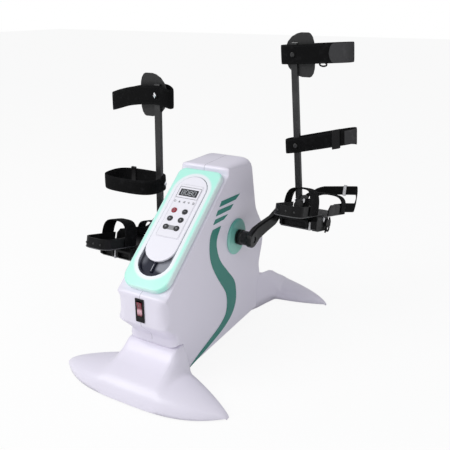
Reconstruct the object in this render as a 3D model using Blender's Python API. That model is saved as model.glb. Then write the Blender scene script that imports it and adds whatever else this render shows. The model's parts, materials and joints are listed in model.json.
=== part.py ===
"""Motorized exercise bike for the legs: a narrow housing on two wide feet, a sloping
console, a driven crank and, on each pedal, a foot tray with a shank rod and calf bands.
Metres, +Z up, +X to the right of the person who sits at -Y and faces the console."""
import math

import bmesh
import bpy
import numpy as np

for old in list(bpy.data.objects):
    bpy.data.objects.remove(old, do_unlink=True)

# driving dimensions
CLEAR = 0.0003          # gap left between two pieces that seat on each other
WALL = 0.003            # thickness of the moulded housings and covers

HUB_Y = 0.00186         # crank axis in the frame of the whole object
HUB_Z = 0.265

HOUSE_W = 0.0628        # half width of the housing
HOUSE_EDGE = 0.024      # how far in from the side face the edge rounding starts
HOUSE_BOTTOM = 0.020
NOSE_Y = -0.300         # flat front face that holds the rocker
NOSE_TOP = 0.224
NOSE_BOTTOM = 0.152
COLLAR_FRONT_Y = -0.235  # step where the front cover wraps the housing
COLLAR_FRONT_Z = 0.092
COLLAR_REAR_Y = 0.120
COLLAR_REAR_Z = 0.100

PANEL_SLOPE = math.radians(38.2)
PANEL_Y = -0.0934       # top edge of the display on the plane of the console
PANEL_Z = 0.3970
BEZEL_T = 0.012
BEZEL_W = 0.058         # half width
BEZEL_UP = 0.059        # from the display's top edge up the slope
BEZEL_DOWN = 0.257      # from the display's top edge down the slope
WELL_R = 0.040          # half width of the pill shaped hole in the bezel
WELL_UP = 0.036
WELL_DOWN = 0.227
PLATE_GAP = 0.0014      # shadow gap round the faceplate
PLATE_DOWN = 0.191
PLATE_RISE = 0.002
PLATE_T = 0.0045
LABEL_T = 0.0005
BUTTON_R = 0.0068
BUTTON_TRAVEL = 0.0012
BUTTON_X = 0.014
BUTTON_ROWS = (-0.062, -0.084, -0.106)

ROCKER_Z = 0.189
ROCKER_FRAME_W = 0.022
ROCKER_FRAME_H = 0.054
ROCKER_W = 0.012
ROCKER_H = 0.034

FOOT_HALF = 0.212       # half length of both feet
FOOT_FRONT_Y = -0.371   # foremost points of the front foot, in its middle
FOOT_FRONT_SWEEP = 0.062  # how far its ends are swept back
FOOT_REAR_Y = 0.308     # rearmost point of the rear foot, in its middle
FOOT_REAR_SWEEP = 0.050   # how far its ends are swept forward
FRONT_TALL = 0.060      # height of the feet beside the housing
REAR_TALL = 0.058
FRONT_FALL = 0.034      # loss of height out to the ends
REAR_FALL = 0.032
REAR_EASE = 0.020       # how far inside the housing's side the rear collar starts to open
REAR_OPEN = 0.035       # over which width it opens
FOOT_RIM_Z = 0.004
PAD_X = 0.150
PAD_R = 0.013
PAD_H = 0.0077

SPINE_W = 0.020         # half width
SPINE_Z0 = 0.012
SPINE_Z1 = 0.037
CROSS_FRONT_Y = -0.306
CROSS_REAR_Y = 0.256

SHAFT_R = 0.008
BEARING_R = 0.0172
BEARING_L = 0.012
SHELL_R = 0.024
SHELL_X = 0.030
DISC_R = 0.044
DISC_T = 0.0055
BARREL_R = 0.017
CRANK_RADIUS = 0.106
CRANK_ANGLE = math.radians(24.5)
CRANK_T = 0.015
CRANK_IN_X = 0.098      # inner face of the arm at the crank axis
CRANK_OUT_X = 0.122     # inner face of the arm at the pedal end

PULLEY_R = 0.055
PULLEY_X0 = 0.0385
PULLEY_W = 0.010
MOTOR_Y = -0.120
MOTOR_Z = 0.102
MOTOR_R = 0.034
MOTOR_PULLEY_R = 0.014

FOOT_X = 0.1975         # middle of each foot tray
PEDAL_SHAFT_R = 0.005
PEDAL_DEPTH = 0.028     # from the pedal axis down to the underside of the pedal
PEDAL_SLOT = {"right": 0.029, "left": 0.002}  # open slot in the back of the pedal, outward of its middle
HEEL_W = 0.034          # half width of the heel
TRAY_W = 0.0505         # half width of the sole under the ball of the foot
TRAY_HEEL = 0.121       # from the pedal axis back to the heel
TRAY_TOE = 0.150        # from the pedal axis forward to the end of the sole
TRAY_PITCH = math.radians(14.0)
SOLE_Z = 0.0056
SOLE_T = 0.0034
CUP_H = 0.022
CUP_T = 0.003
WING_Y0 = 0.026
WING_Y1 = 0.110
WING_H = 0.024
STRAP_T = 0.0024
ANKLE_STRAP_Y = -0.028
ANKLE_STRAP_W = 0.044
ANKLE_STRAP_H = 0.067
INSTEP_STRAP_Y = 0.132
INSTEP_STRAP_W = 0.034
INSTEP_STRAP_H = 0.051
TOE_BAND_Y = 0.260
TOE_BAND_W = 0.024
TOE_LIFT = {"right": (0.000, 0.044), "left": (0.034, 0.010)}  # rise at the front: outer side, inner side on top

EAR_X = 0.0384          # inner wing of the tray, which carries the shank rod
ROD_W = 0.015           # across the leg
ROD_T = 0.010           # fore and aft
ROD_Y = 0.0790          # pivot of the shank rod in the frame of the tray
ROD_Z = 0.030
ROD_IN = math.radians(3.3)    # lean towards the machine
ROD_BACK = math.radians(2.9)  # lean towards the seated person
PLATE_MID = 0.367       # middle of the calf plate over the pedal axis
ROD_TOP = PLATE_MID + 0.027   # height of the rod's end over the pedal axis, inside the plate's top edge
CALF_PLATE_H = 0.102
CALF_PLATE_IN = 0.052   # from the plate's highest point to its inner edge
CALF_PLATE_OUT = 0.022  # from the plate's highest point to its outer edge
CALF_PLATE_X = 0.028    # highest point, outward of the rod
CALF_PLATE_R = 0.600
CALF_PLATE_T = 0.003
CALF_PLATE_Y = 0.002    # near face off the middle of the rod
BAND_T = 0.004
BAND_POWER = 3.0
# soft bands as they hang: which face of the rod holds them, height over the pedal axis, width,
# half length, half depth, middle off the rod's, drop of the outer and inner ends, steady rise outwards
BANDS = {
    ("upper", "right"): ("near", PLATE_MID + 0.001, 0.044, 0.084, 0.020, 0.051, 0.0, 0.0, 0.07),
    ("lower", "right"): ("near", 0.153, 0.036, 0.086, 0.020, 0.0556, 0.0, 0.0, 0.26),
    ("upper", "left"): ("near", PLATE_MID + 0.002, 0.044, 0.082, 0.018, 0.052, 0.025, 0.010, 0.0),
    ("lower", "left"): ("inner", 0.152, 0.036, 0.075, 0.045, -0.014, 0.0, 0.0, 0.0),
}

MATERIALS = {
    "white_plastic": ((0.80, 0.79, 0.86), 0.38, 0.0),
    "mint_plastic": ((0.43, 0.87, 0.76), 0.40, 0.0),
    "disc_plastic": ((0.16, 0.46, 0.36), 0.42, 0.0),
    "stripe_film": ((0.05, 0.24, 0.19), 0.45, 0.0),
    "recess_plastic": ((0.12, 0.14, 0.19), 0.35, 0.0),
    "label_film": ((0.82, 0.82, 0.88), 0.50, 0.0),
    "window_plastic": ((0.02, 0.03, 0.04), 0.15, 0.0),
    "red_plastic": ((0.62, 0.03, 0.04), 0.30, 0.0),
    "button_plastic": ((0.03, 0.03, 0.035), 0.45, 0.0),
    "black_plastic": ((0.018, 0.018, 0.020), 0.48, 0.0),
    "black_steel": ((0.020, 0.020, 0.022), 0.40, 0.3),
    "frame_steel": ((0.05, 0.05, 0.055), 0.45, 0.4),
    "bright_steel": ((0.62, 0.62, 0.64), 0.25, 1.0),
    "rubber": ((0.015, 0.015, 0.016), 0.85, 0.0),
    "webbing": ((0.017, 0.017, 0.018), 0.90, 0.0),
    "motor_steel": ((0.30, 0.31, 0.33), 0.40, 0.8),
    "board": ((0.02, 0.16, 0.07), 0.50, 0.0),
}


def material(slot):
    found = bpy.data.materials.get(slot)
    if found:
        return found
    colour, rough, metal = MATERIALS[slot]
    mat = bpy.data.materials.new(slot)
    mat.use_nodes = True
    node = mat.node_tree.nodes["Principled BSDF"]
    node.inputs["Base Color"].default_value = (*colour, 1.0)
    node.inputs["Roughness"].default_value = rough
    node.inputs["Metallic"].default_value = metal
    mat.diffuse_color = (*colour, 1.0)
    return mat


def piece(name, slot, shells, origin=(0.0, 0.0, 0.0)):
    """One named object from closed shells given in the frame of the hub."""
    bm = bmesh.new()
    for verts, faces in shells:
        made = [bm.verts.new(tuple(float(c) for c in v)) for v in verts]
        for face in faces:
            bm.faces.new([made[i] for i in face])
    bmesh.ops.remove_doubles(bm, verts=bm.verts, dist=1e-6)
    bmesh.ops.dissolve_degenerate(bm, dist=1e-6, edges=bm.edges)
    bmesh.ops.recalc_face_normals(bm, faces=bm.faces)
    bmesh.ops.translate(bm, verts=bm.verts, vec=[-c for c in origin])
    mesh = bpy.data.meshes.new(name)
    bm.to_mesh(mesh)
    bm.free()
    mesh.materials.append(material(slot))
    obj = bpy.data.objects.new(name, mesh)
    obj.location = (origin[0], origin[1] + HUB_Y, origin[2])
    bpy.context.scene.collection.objects.link(obj)
    return obj


def shift(shell, vec):
    verts, faces = shell
    return [tuple(np.asarray(v, float) + np.asarray(vec, float)) for v in verts], faces


def combine(obj, shell, operation):
    """Boolean of a closed shell, given in the frame of the hub, into an object."""
    tool = piece("tool", "frame_steel", [shell])
    bpy.context.view_layer.update()
    mod = obj.modifiers.new("cut", "BOOLEAN")
    mod.operation = operation
    mod.object = tool
    mod.solver = "EXACT"
    graph = bpy.context.evaluated_depsgraph_get()
    baked = bpy.data.meshes.new_from_object(obj.evaluated_get(graph))
    slot = obj.data.materials[0]
    obj.modifiers.clear()
    obj.data = baked
    obj.data.materials.clear()
    obj.data.materials.append(slot)
    for poly in obj.data.polygons:
        poly.material_index = 0
    bpy.data.objects.remove(tool, do_unlink=True)
    bm = bmesh.new()
    bm.from_mesh(obj.data)
    bmesh.ops.remove_doubles(bm, verts=bm.verts, dist=2e-6)
    bmesh.ops.dissolve_degenerate(bm, dist=1e-6, edges=bm.edges)
    bm.to_mesh(obj.data)
    bm.free()


# shapes
def block(x0, x1, y0, y1, z0, z1):
    verts = [(x, y, z) for z in (z0, z1) for y in (y0, y1) for x in (x0, x1)]
    faces = [(0, 2, 3, 1), (4, 5, 7, 6), (0, 1, 5, 4), (2, 6, 7, 3), (0, 4, 6, 2), (1, 3, 7, 5)]
    return verts, faces


def loft(rings, closed=False):
    """Skin over rings of equal count; the two ends are capped unless the run closes."""
    n = len(rings[0])
    m = len(rings)
    verts = [tuple(p) for ring in rings for p in ring]
    faces = []
    for j in range(m if closed else m - 1):
        a, b = j * n, ((j + 1) % m) * n
        for i in range(n):
            k = (i + 1) % n
            faces.append((a + i, a + k, b + k, b + i))
    if not closed:
        faces.append(tuple(reversed(range(n))))
        faces.append(tuple(range((m - 1) * n, m * n)))
    return verts, faces


def circle(radius, count, phase=0.0):
    step = 2.0 * math.pi / count
    return [(radius * math.cos(phase + i * step), radius * math.sin(phase + i * step)) for i in range(count)]


def rod_x(x0, x1, y, z, radius, count=24):
    """Round bar along X."""
    return loft([[(x, y + c, z + s) for c, s in circle(radius, count)] for x in (x0, x1)])


def turned_x(profile, y, z, count=28, hollow=False):
    """Turned part about an X axis; profile is (x, radius) and closes on itself if hollow."""
    rings = [[(x, y + c, z + s) for c, s in circle(r, count)] for x, r in profile]
    return loft(rings, closed=hollow)


def rounded(corners, arc=5):
    """Closed outline from (a, b, radius[, tag]) corners; tags ride along, blended on arcs."""
    out = []
    n = len(corners)
    for i in range(n):
        p = np.array(corners[i][:2], float)
        q = np.array(corners[i - 1][:2], float)
        r = np.array(corners[(i + 1) % n][:2], float)
        radius = corners[i][2]
        tag = corners[i][3] if len(corners[i]) > 3 else 0.0
        u = (q - p) / np.linalg.norm(q - p)
        v = (r - p) / np.linalg.norm(r - p)
        half = 0.5 * math.acos(max(-1.0, min(1.0, float(u @ v))))
        if radius <= 0.0 or half > 1.55:
            out.append((*p, tag))
            continue
        run = radius / math.tan(half)
        run = min(run, 0.49 * np.linalg.norm(q - p), 0.49 * np.linalg.norm(r - p))
        size = run * math.tan(half)
        mid = (u + v) / np.linalg.norm(u + v)
        centre = p + mid * size / math.sin(half)
        a, b = p + u * run - centre, p + v * run - centre
        turn = math.pi - 2.0 * half
        steps = max(1, int(round(arc * turn / (math.pi / 2))))
        for k in range(steps + 1):
            t = k / steps
            w = (math.sin((1 - t) * turn) * a + math.sin(t * turn) * b) / math.sin(turn)
            out.append((*(centre + w), tag))
    return out


def inward(outline, distance):
    """Outline moved to its inner side by a distance, or by one distance per point."""
    pts = np.array([p[:2] for p in outline], float)
    area = 0.5 * np.sum(pts[:, 0] * np.roll(pts[:, 1], -1) - np.roll(pts[:, 0], -1) * pts[:, 1])
    side = 1.0 if area > 0 else -1.0
    before = pts - np.roll(pts, 1, axis=0)
    after = np.roll(pts, -1, axis=0) - pts
    before /= np.linalg.norm(before, axis=1)[:, None]
    after /= np.linalg.norm(after, axis=1)[:, None]
    n0 = side * np.stack([-before[:, 1], before[:, 0]], axis=1)
    n1 = side * np.stack([-after[:, 1], after[:, 0]], axis=1)
    mid = n0 + n1
    mid /= np.maximum(np.linalg.norm(mid, axis=1)[:, None], 1e-9)
    stretch = 1.0 / np.maximum(np.sum(mid * n0, axis=1), 0.6)
    return pts + mid * (stretch * distance)[:, None]


def pill(half_width, up, down, count=9):
    """Outline of a slot along the slope, from down to up, with round ends."""
    out = []
    for k in range(count + 1):
        a = math.pi * k / count
        out.append((half_width * math.cos(a), up - half_width + half_width * math.sin(a)))
    for k in range(count + 1):
        a = math.pi + math.pi * k / count
        out.append((half_width * math.cos(a), down + half_width + half_width * math.sin(a)))
    return out


def on_slope(outline, low, high, edge=0.0, steps=3):
    """Plate parallel to the console, between two heights over its plane, top edge rounded."""
    cs, sn = math.cos(PANEL_SLOPE), math.sin(PANEL_SLOPE)

    def place(points, h):
        return [(x, PANEL_Y + s * cs - h * sn, PANEL_Z + s * sn + h * cs) for x, s in points]

    rings = [place([p[:2] for p in outline], low), place([p[:2] for p in outline], high - edge)]
    if edge > 0.0:
        for k in range(1, steps + 1):
            a = 0.5 * math.pi * k / steps
            rings.append(place(inward(outline, edge * (1.0 - math.cos(a))), high - edge + edge * math.sin(a)))
    return loft(rings)


def ribbon(path, normals, across, width, thick, closed=False, taper=None):
    """Flat band: path of the inner face, outward normals, direction across the band."""
    across = np.asarray(across, float)
    rings = []
    for i, (p, n) in enumerate(zip(np.asarray(path, float), np.asarray(normals, float))):
        w = 0.5 * width * (taper[i] if taper is not None else 1.0)
        rings.append([p - across * w, p + across * w, p + across * w + n * thick, p - across * w + n * thick])
    return loft(rings, closed=closed)


def normals_of(points, closed=False):
    """Unit normals to the left of travel for a planar run of 2-D points."""
    pts = np.asarray(points, float)
    if closed:
        tangent = np.roll(pts, -1, axis=0) - np.roll(pts, 1, axis=0)
    else:
        tangent = np.gradient(pts, axis=0)
    tangent /= np.linalg.norm(tangent, axis=1)[:, None]
    return np.stack([-tangent[:, 1], tangent[:, 0]], axis=1)


# housing: a shell in two halves, parted on the middle plane
cs, sn = math.cos(PANEL_SLOPE), math.sin(PANEL_SLOPE)


def slope_point(s, h):
    return PANEL_Y + s * cs - h * sn, PANEL_Z + s * sn + h * cs


seat = -BEZEL_T - CLEAR                      # the housing's slope lies under the bezel
top_y, top_z = slope_point(BEZEL_UP + 0.001, seat)
low_y, low_z = slope_point(-BEZEL_DOWN - 0.001, seat)
CREST_Z = top_z + 0.0165
BACK_Y = 0.112
BULGE_Y = 0.158
HOUSE_SIDE = [
    (low_y, low_z, 0.006, 0.004), (top_y, top_z, 0.004, 0.004), (top_y + 0.0005, CREST_Z, 0.008, 0.0055),
    (0.092, CREST_Z + 0.002, 0.034, 0.018), (BACK_Y, HUB_Z + 0.043, 0.060, 0.010),
    (BULGE_Y, HUB_Z - 0.016, 0.030, 0.012), (BULGE_Y, HUB_Z - 0.066, 0.030, 0.012),
    (COLLAR_REAR_Y + 0.017, COLLAR_REAR_Z + 0.046, 0.030, 0.010),
    (COLLAR_REAR_Y + 0.023, COLLAR_REAR_Z + CLEAR, 0.0, 0.006),
    (COLLAR_REAR_Y, COLLAR_REAR_Z + CLEAR, 0.0, 0.0), (COLLAR_REAR_Y, HOUSE_BOTTOM, 0.004, 0.003),
    (COLLAR_FRONT_Y, HOUSE_BOTTOM, 0.004, 0.003), (COLLAR_FRONT_Y, COLLAR_FRONT_Z + CLEAR, 0.0, 0.0),
    (COLLAR_FRONT_Y - 0.028, COLLAR_FRONT_Z + CLEAR, 0.0, 0.010),
    (COLLAR_FRONT_Y - 0.030, COLLAR_FRONT_Z + 0.024, 0.020, 0.016), (NOSE_Y, NOSE_BOTTOM, 0.013, 0.009),
    (NOSE_Y, NOSE_BOTTOM + 0.015, 0.0, 0.017), (NOSE_Y, NOSE_BOTTOM + 0.027, 0.0, 0.021),
    (NOSE_Y, NOSE_TOP - 0.024, 0.0, 0.021), (NOSE_Y, NOSE_TOP - 0.014, 0.0, 0.016), (NOSE_Y, NOSE_TOP, 0.010, 0.007)]
house_outline = rounded(HOUSE_SIDE, arc=6)


def house_half(sign):
    tags = np.array([p[2] for p in house_outline])
    outer = [p[:2] for p in house_outline]
    inner = [tuple(p) for p in inward(house_outline, WALL)]
    start = 0.5 * CLEAR

    def rings_for(outline, half, amp, back):
        rings = [[(sign * start, y, z) for y, z in outline], [(sign * (half - HOUSE_EDGE), y, z) for y, z in outline]]
        for k in range(1, 6):
            a = 0.5 * math.pi * k / 5
            moved = inward(outline, amp * (1.0 - math.cos(a)))
            rings.append([(sign * (half - HOUSE_EDGE + HOUSE_EDGE * math.sin(a)), y, z) for y, z in moved])
        return rings[::-1] if back else rings

    out_rings = rings_for(outer, HOUSE_W, tags, False)
    in_rings = rings_for(inner, HOUSE_W - WALL, np.maximum(tags - 0.001, 0.0), True)
    n = len(outer)
    rings = out_rings + in_rings
    verts = [p for ring in rings for p in ring]
    faces = []
    m_out, m = len(out_rings), len(rings)
    for j in range(m):
        if j == m_out - 1:
            continue
        a, b = j * n, ((j + 1) % m) * n
        for i in range(n):
            k = (i + 1) % n
            faces.append((a + i, a + k, b + k, b + i))
    faces.append(tuple(range((m_out - 1) * n, m_out * n)))
    faces.append(tuple(reversed(range(m_out * n, (m_out + 1) * n))))
    return verts, faces


halves = [piece("housing_right", "white_plastic", [house_half(1.0)]),
          piece("housing_left", "white_plastic", [house_half(-1.0)])]
for half in halves:
    combine(half, rod_x(-2 * HOUSE_W, 2 * HOUSE_W, 0.0, HUB_Z, SHAFT_R + 0.004), "DIFFERENCE")
    combine(half, block(-SPINE_W - 0.0008, SPINE_W + 0.0008, COLLAR_FRONT_Y - 0.02, COLLAR_REAR_Y + 0.02,
                        0.0, SPINE_Z1 + 0.0008), "DIFFERENCE")
    combine(half, block(-0.5 * ROCKER_FRAME_W + 0.002, 0.5 * ROCKER_FRAME_W - 0.002, NOSE_Y - 0.01, NOSE_Y + 0.01,
                        ROCKER_Z - 0.5 * ROCKER_FRAME_H + 0.002, ROCKER_Z + 0.5 * ROCKER_FRAME_H - 0.002),
            "DIFFERENCE")
    combine(half, on_slope([(0.026, 0.010), (-0.026, 0.010), (-0.026, -0.120), (0.026, -0.120)],
                           seat - 0.010, seat + 0.006), "DIFFERENCE")

# power inlet on the lower back
inlet_y = COLLAR_REAR_Y + 0.021
inlet_z = COLLAR_REAR_Z + 0.022
for half in halves:
    combine(half, block(-0.0103, 0.0103, inlet_y - 0.012, inlet_y + 0.02, inlet_z - 0.0083, inlet_z + 0.0083),
            "DIFFERENCE")
inlet = piece("power_inlet", "black_plastic", [block(-0.010, 0.010, inlet_y - 0.016, inlet_y + 0.0015,
                                                     inlet_z - 0.008, inlet_z + 0.008)])
hole = loft([[(c, y, inlet_z + s) for c, s in circle(0.0045, 20)] for y in (inlet_y - 0.010, inlet_y + 0.01)])
combine(inlet, hole, "DIFFERENCE")

# console
bezel = piece("console_bezel", "mint_plastic", [on_slope(
    rounded([(BEZEL_W, BEZEL_UP, 0.020), (-BEZEL_W, BEZEL_UP, 0.020), (-BEZEL_W, -BEZEL_DOWN, 0.034),
             (BEZEL_W, -BEZEL_DOWN, 0.034)], arc=7), -BEZEL_T, 0.0, edge=0.005)])
combine(bezel, on_slope(pill(WELL_R, WELL_UP, -WELL_DOWN, 12), -BEZEL_T - 0.02, 0.02), "DIFFERENCE")
face_pill = pill(WELL_R - PLATE_GAP, WELL_UP - PLATE_GAP, -PLATE_DOWN, 12)
face_low = PLATE_RISE - PLATE_T
faceplate = piece("console_faceplate", "white_plastic", [on_slope(face_pill, face_low, PLATE_RISE, edge=0.0016)])
dish_top = face_low - CLEAR
dish = on_slope(pill(WELL_R - CLEAR, WELL_UP - CLEAR, -WELL_DOWN + CLEAR, 12), -BEZEL_T, dish_top)
recess = piece("console_recess", "recess_plastic", [dish])
hollow = pill(WELL_R - 0.004, -0.100, -WELL_DOWN + 0.004, 12)
combine(recess, on_slope([(x, min(s, -PLATE_DOWN + 0.020)) for x, s in hollow], -BEZEL_T + 0.004, dish_top + 0.01),
        "DIFFERENCE")
combine(recess, on_slope([(0.003, -PLATE_DOWN + 0.010), (-0.003, -PLATE_DOWN + 0.010), (-0.003, -WELL_DOWN + 0.012),
                          (0.003, -WELL_DOWN + 0.012)], -BEZEL_T + 0.002, dish_top - 0.001), "UNION")
well = [(0.027, 0.006), (-0.027, 0.006), (-0.027, -0.121), (0.027, -0.121)]
combine(recess, on_slope(well, -BEZEL_T - 0.01, 0.01), "DIFFERENCE")
for x, row in [(sx * BUTTON_X, r) for r in BUTTON_ROWS for sx in (-1.0, 1.0)]:
    ring = [(x + c, row + s) for c, s in circle(BUTTON_R + CLEAR, 20)]
    combine(faceplate, on_slope(ring, face_low - 0.01, PLATE_RISE + 0.01), "DIFFERENCE")
window = [(0.019, -0.0045), (-0.019, -0.0045), (-0.019, -0.0205), (0.019, -0.0205)]
window_cut = [(x * (1 + CLEAR / 0.019), -0.0125 + (s + 0.0125) * (1 + CLEAR / 0.008)) for x, s in window]
combine(faceplate, on_slope(window_cut, face_low - 0.01, PLATE_RISE + 0.01), "DIFFERENCE")
piece("display_window", "window_plastic", [on_slope(window, face_low, PLATE_RISE + 0.0002)])
label = piece("control_label", "label_film", [on_slope(
    rounded([(0.0295, 0.0105, 0.004), (-0.0295, 0.0105, 0.004), (-0.0295, -0.1315, 0.004), (0.0295, -0.1315, 0.004)],
            arc=3), PLATE_RISE + CLEAR, PLATE_RISE + CLEAR + LABEL_T)])
combine(label, on_slope(window_cut, PLATE_RISE - 0.01, PLATE_RISE + 0.01), "DIFFERENCE")
button_top = PLATE_RISE + LABEL_T + BUTTON_TRAVEL + 0.0008
names = ("power", "mode", "time_up", "speed_up", "time_down", "speed_down")
for name, (x, row) in zip(names, [(sx * BUTTON_X, r) for r in BUTTON_ROWS for sx in (-1.0, 1.0)]):
    ring = [(x + c, row + s) for c, s in circle(BUTTON_R + CLEAR, 20)]
    combine(label, on_slope(ring, PLATE_RISE - 0.01, PLATE_RISE + 0.01), "DIFFERENCE")
    cap = [(x + c, row + s) for c, s in circle(BUTTON_R, 20)]
    y, z = slope_point(row, button_top)
    piece("button_" + name, "red_plastic" if name == "power" else "button_plastic",
          [on_slope(cap, face_low, button_top, edge=0.0012, steps=2)], origin=(x, y, z))
board_top = seat - WALL - CLEAR              # the board hangs under the edges of the opening
piece("control_board", "board", [on_slope([(0.030, 0.000), (-0.030, 0.000), (-0.030, -0.115), (0.030, -0.115)],
                                          board_top - 0.0016, board_top)])

# rocker on the front face
fy = NOSE_Y
frame_shell = block(-0.5 * ROCKER_FRAME_W, 0.5 * ROCKER_FRAME_W, fy - CLEAR - 0.002, fy - CLEAR,
                    ROCKER_Z - 0.5 * ROCKER_FRAME_H, ROCKER_Z + 0.5 * ROCKER_FRAME_H)
rocker_frame = piece("rocker_frame", "black_plastic", [frame_shell])
combine(rocker_frame, block(-0.5 * ROCKER_FRAME_W + 0.0025, 0.5 * ROCKER_FRAME_W - 0.0025, fy - 0.0015, fy + 0.016,
                            ROCKER_Z - 0.5 * ROCKER_FRAME_H + 0.0025, ROCKER_Z + 0.5 * ROCKER_FRAME_H - 0.0025),
        "UNION")
rock_z = ROCKER_Z + 0.004
combine(rocker_frame, block(-0.5 * ROCKER_W - 0.0006, 0.5 * ROCKER_W + 0.0006, fy - 0.02, fy + 0.012,
                            rock_z - 0.5 * ROCKER_H - 0.0012, rock_z + 0.5 * ROCKER_H + 0.0012), "DIFFERENCE")
rock_y = fy + 0.005
h = 0.5 * ROCKER_H
profile = [(fy - 0.0050, rock_z + h * 0.96), (fy - 0.0026, rock_z), (fy - 0.0032, rock_z - h * 0.96),
           (rock_y + 0.0040, rock_z - h * 0.55), (rock_y + 0.0050, rock_z), (rock_y + 0.0040, rock_z + h * 0.55)]
piece("power_rocker", "red_plastic", [loft([[(x, y, z) for y, z in profile]
                                            for x in (-0.5 * ROCKER_W, 0.5 * ROCKER_W)])], origin=(0.0, rock_y, rock_z))

# side stripes and hub discs
WAVE_LEFT = [(-0.108, 0.322), (-0.120, 0.304), (-0.122, 0.268), (-0.111, 0.233), (-0.083, 0.189), (-0.050, 0.144),
             (-0.043, 0.112), (-0.051, 0.083), (-0.085, 0.064), (-0.131, 0.052), (-0.178, 0.040)]
WAVE_RIGHT = [(-0.220, 0.0265), (-0.160, 0.0330), (-0.114, 0.0400), (-0.060, 0.0510), (-0.020, 0.0690),
              (0.000, 0.0950), (0.002, 0.1270), (-0.008, 0.1590), (-0.040, 0.1950), (-0.075, 0.2350), (-0.090, 0.2690),
              (-0.090, 0.2950), (-0.072, 0.3200)]


def smooth_run(points, per=3):
    """Curve through the points, cut into short straight runs."""
    pts = np.array(points, float)
    ext = np.vstack([2 * pts[0] - pts[1], pts, 2 * pts[-1] - pts[-2]])
    out = []
    for i in range(1, len(ext) - 2):
        for k in range(per):
            t = k / per
            a, b, c, d = ext[i - 1], ext[i], ext[i + 1], ext[i + 2]
            out.append(tuple(0.5 * (2 * b + (c - a) * t + (2 * a - 5 * b + 4 * c - d) * t ** 2
                                    + (3 * b - a - 3 * c + d) * t ** 3)))
    out.append(tuple(pts[-1]))
    return out


wave = smooth_run(WAVE_LEFT) + smooth_run(WAVE_RIGHT)
lift = HUB_Z - 0.271                         # the stripe was laid out round an axis 271 mm up
for side, sign in (("right", 1.0), ("left", -1.0)):
    rings = [[(sign * x, y, z + lift) for y, z in wave] for x in (HOUSE_W + CLEAR, HOUSE_W + CLEAR + 0.0007)]
    piece("side_stripe_" + side, "stripe_film", [loft(rings)])
    x0 = HOUSE_W + CLEAR
    disc = [(x0, SHAFT_R + 0.001), (x0, DISC_R - 0.0010), (x0 + 0.0030, DISC_R), (x0 + 0.0045, DISC_R - 0.002),
            (x0 + DISC_T, DISC_R - 0.008), (x0 + DISC_T, SHAFT_R + 0.001)]
    piece("hub_disc_" + side, "disc_plastic", [turned_x([(sign * x, r) for x, r in disc], 0.0, HUB_Z, 40, True)])


# feet: hollow boat shaped covers over a welded cross tube
def foot_skin(front, rear, height, collar, thin):
    """Rows of points, front or rear foot: across stations, from the rear edge to the front."""
    stations = np.concatenate([-np.cos(np.linspace(0, math.pi / 2, 13))[:-1] * (FOOT_HALF - thin),
                               [0.0], np.cos(np.linspace(math.pi / 2, 0, 13))[1:] * (FOOT_HALF - thin)])
    wide = HOUSE_W + 0.0007
    near = [-wide - 0.008, -wide, wide, wide + 0.008]
    stations = np.array(sorted([s for s in stations if abs(abs(s) - wide - 0.004) > 0.008] + near))
    rows = []
    for x in stations:
        u = abs(x) / (FOOT_HALF - thin)
        yr, yf = rear(abs(x), thin), front(abs(x), thin)
        yr, yf = (yr, yf) if yr > yf else (yf, yr)
        tall = max(height(abs(x)) - thin, 0.0) * math.sqrt(max(1.0 - u ** 6, 0.0)) - FOOT_RIM_Z
        tall = max(tall, 0.0) if u < 0.9999 else 0.0
        ease = min(max((0.086 - abs(x)) / 0.026, 0.0), 1.0)
        ease = ease * ease * (3 - 2 * ease)
        row = []
        for k in range(17):
            a = math.pi * k / 16
            dy = 0.5 * (1 + math.cos(a))         # 1 at the rear edge, 0 at the front edge
            dz = math.sin(a) ** 0.62
            fy_, fz = dy, FOOT_RIM_Z + tall * dz
            cy, cz = collar[k]
            cz = max(cz - thin, FOOT_RIM_Z) if 0 < k < 16 else FOOT_RIM_Z
            y = yf + (yr - yf) * (fy_ * (1 - ease) + cy * ease)
            z = fz * (1 - ease) + cz * ease
            row.append((x, y, z))
        rows.append(row)
    return rows


def cover(name, front, rear, height, collar):
    outer = foot_skin(front, rear, height, collar, 0.0)
    inner = foot_skin(front, rear, height, collar, WALL)
    m, n = len(outer), len(outer[0])
    verts = [p for row in outer for p in row] + [p for row in inner for p in row]
    faces = []
    for j in range(m - 1):
        for i in range(n - 1):
            a = j * n + i
            faces.append((a, a + 1, a + n + 1, a + n))
            b = m * n + a
            faces.append((b, b + n, b + n + 1, b + 1))
    edge = [j * n for j in range(m)] + [(m - 1) * n + i for i in range(1, n)]
    edge += [j * n + n - 1 for j in range(m - 2, -1, -1)] + [i for i in range(n - 2, 0, -1)]
    for a, b in zip(edge, edge[1:] + edge[:1]):
        faces.append((a, b, m * n + b, m * n + a))
    return piece(name, "white_plastic", [(verts, faces)])


def front_front(x, thin):
    return FOOT_FRONT_Y + FOOT_FRONT_SWEEP * (x / FOOT_HALF) ** 3.2 + thin


def front_rear(x, thin):
    wide = HOUSE_W + 0.0007
    if x <= wide + 1e-6:
        return COLLAR_FRONT_Y - CLEAR - thin
    t = (x - wide) / (FOOT_HALF - wide)
    return -0.230 - 0.070 * t ** 1.25 - thin


def front_height(x):
    return FRONT_TALL - FRONT_FALL * (x / FOOT_HALF) ** 1.1


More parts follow.
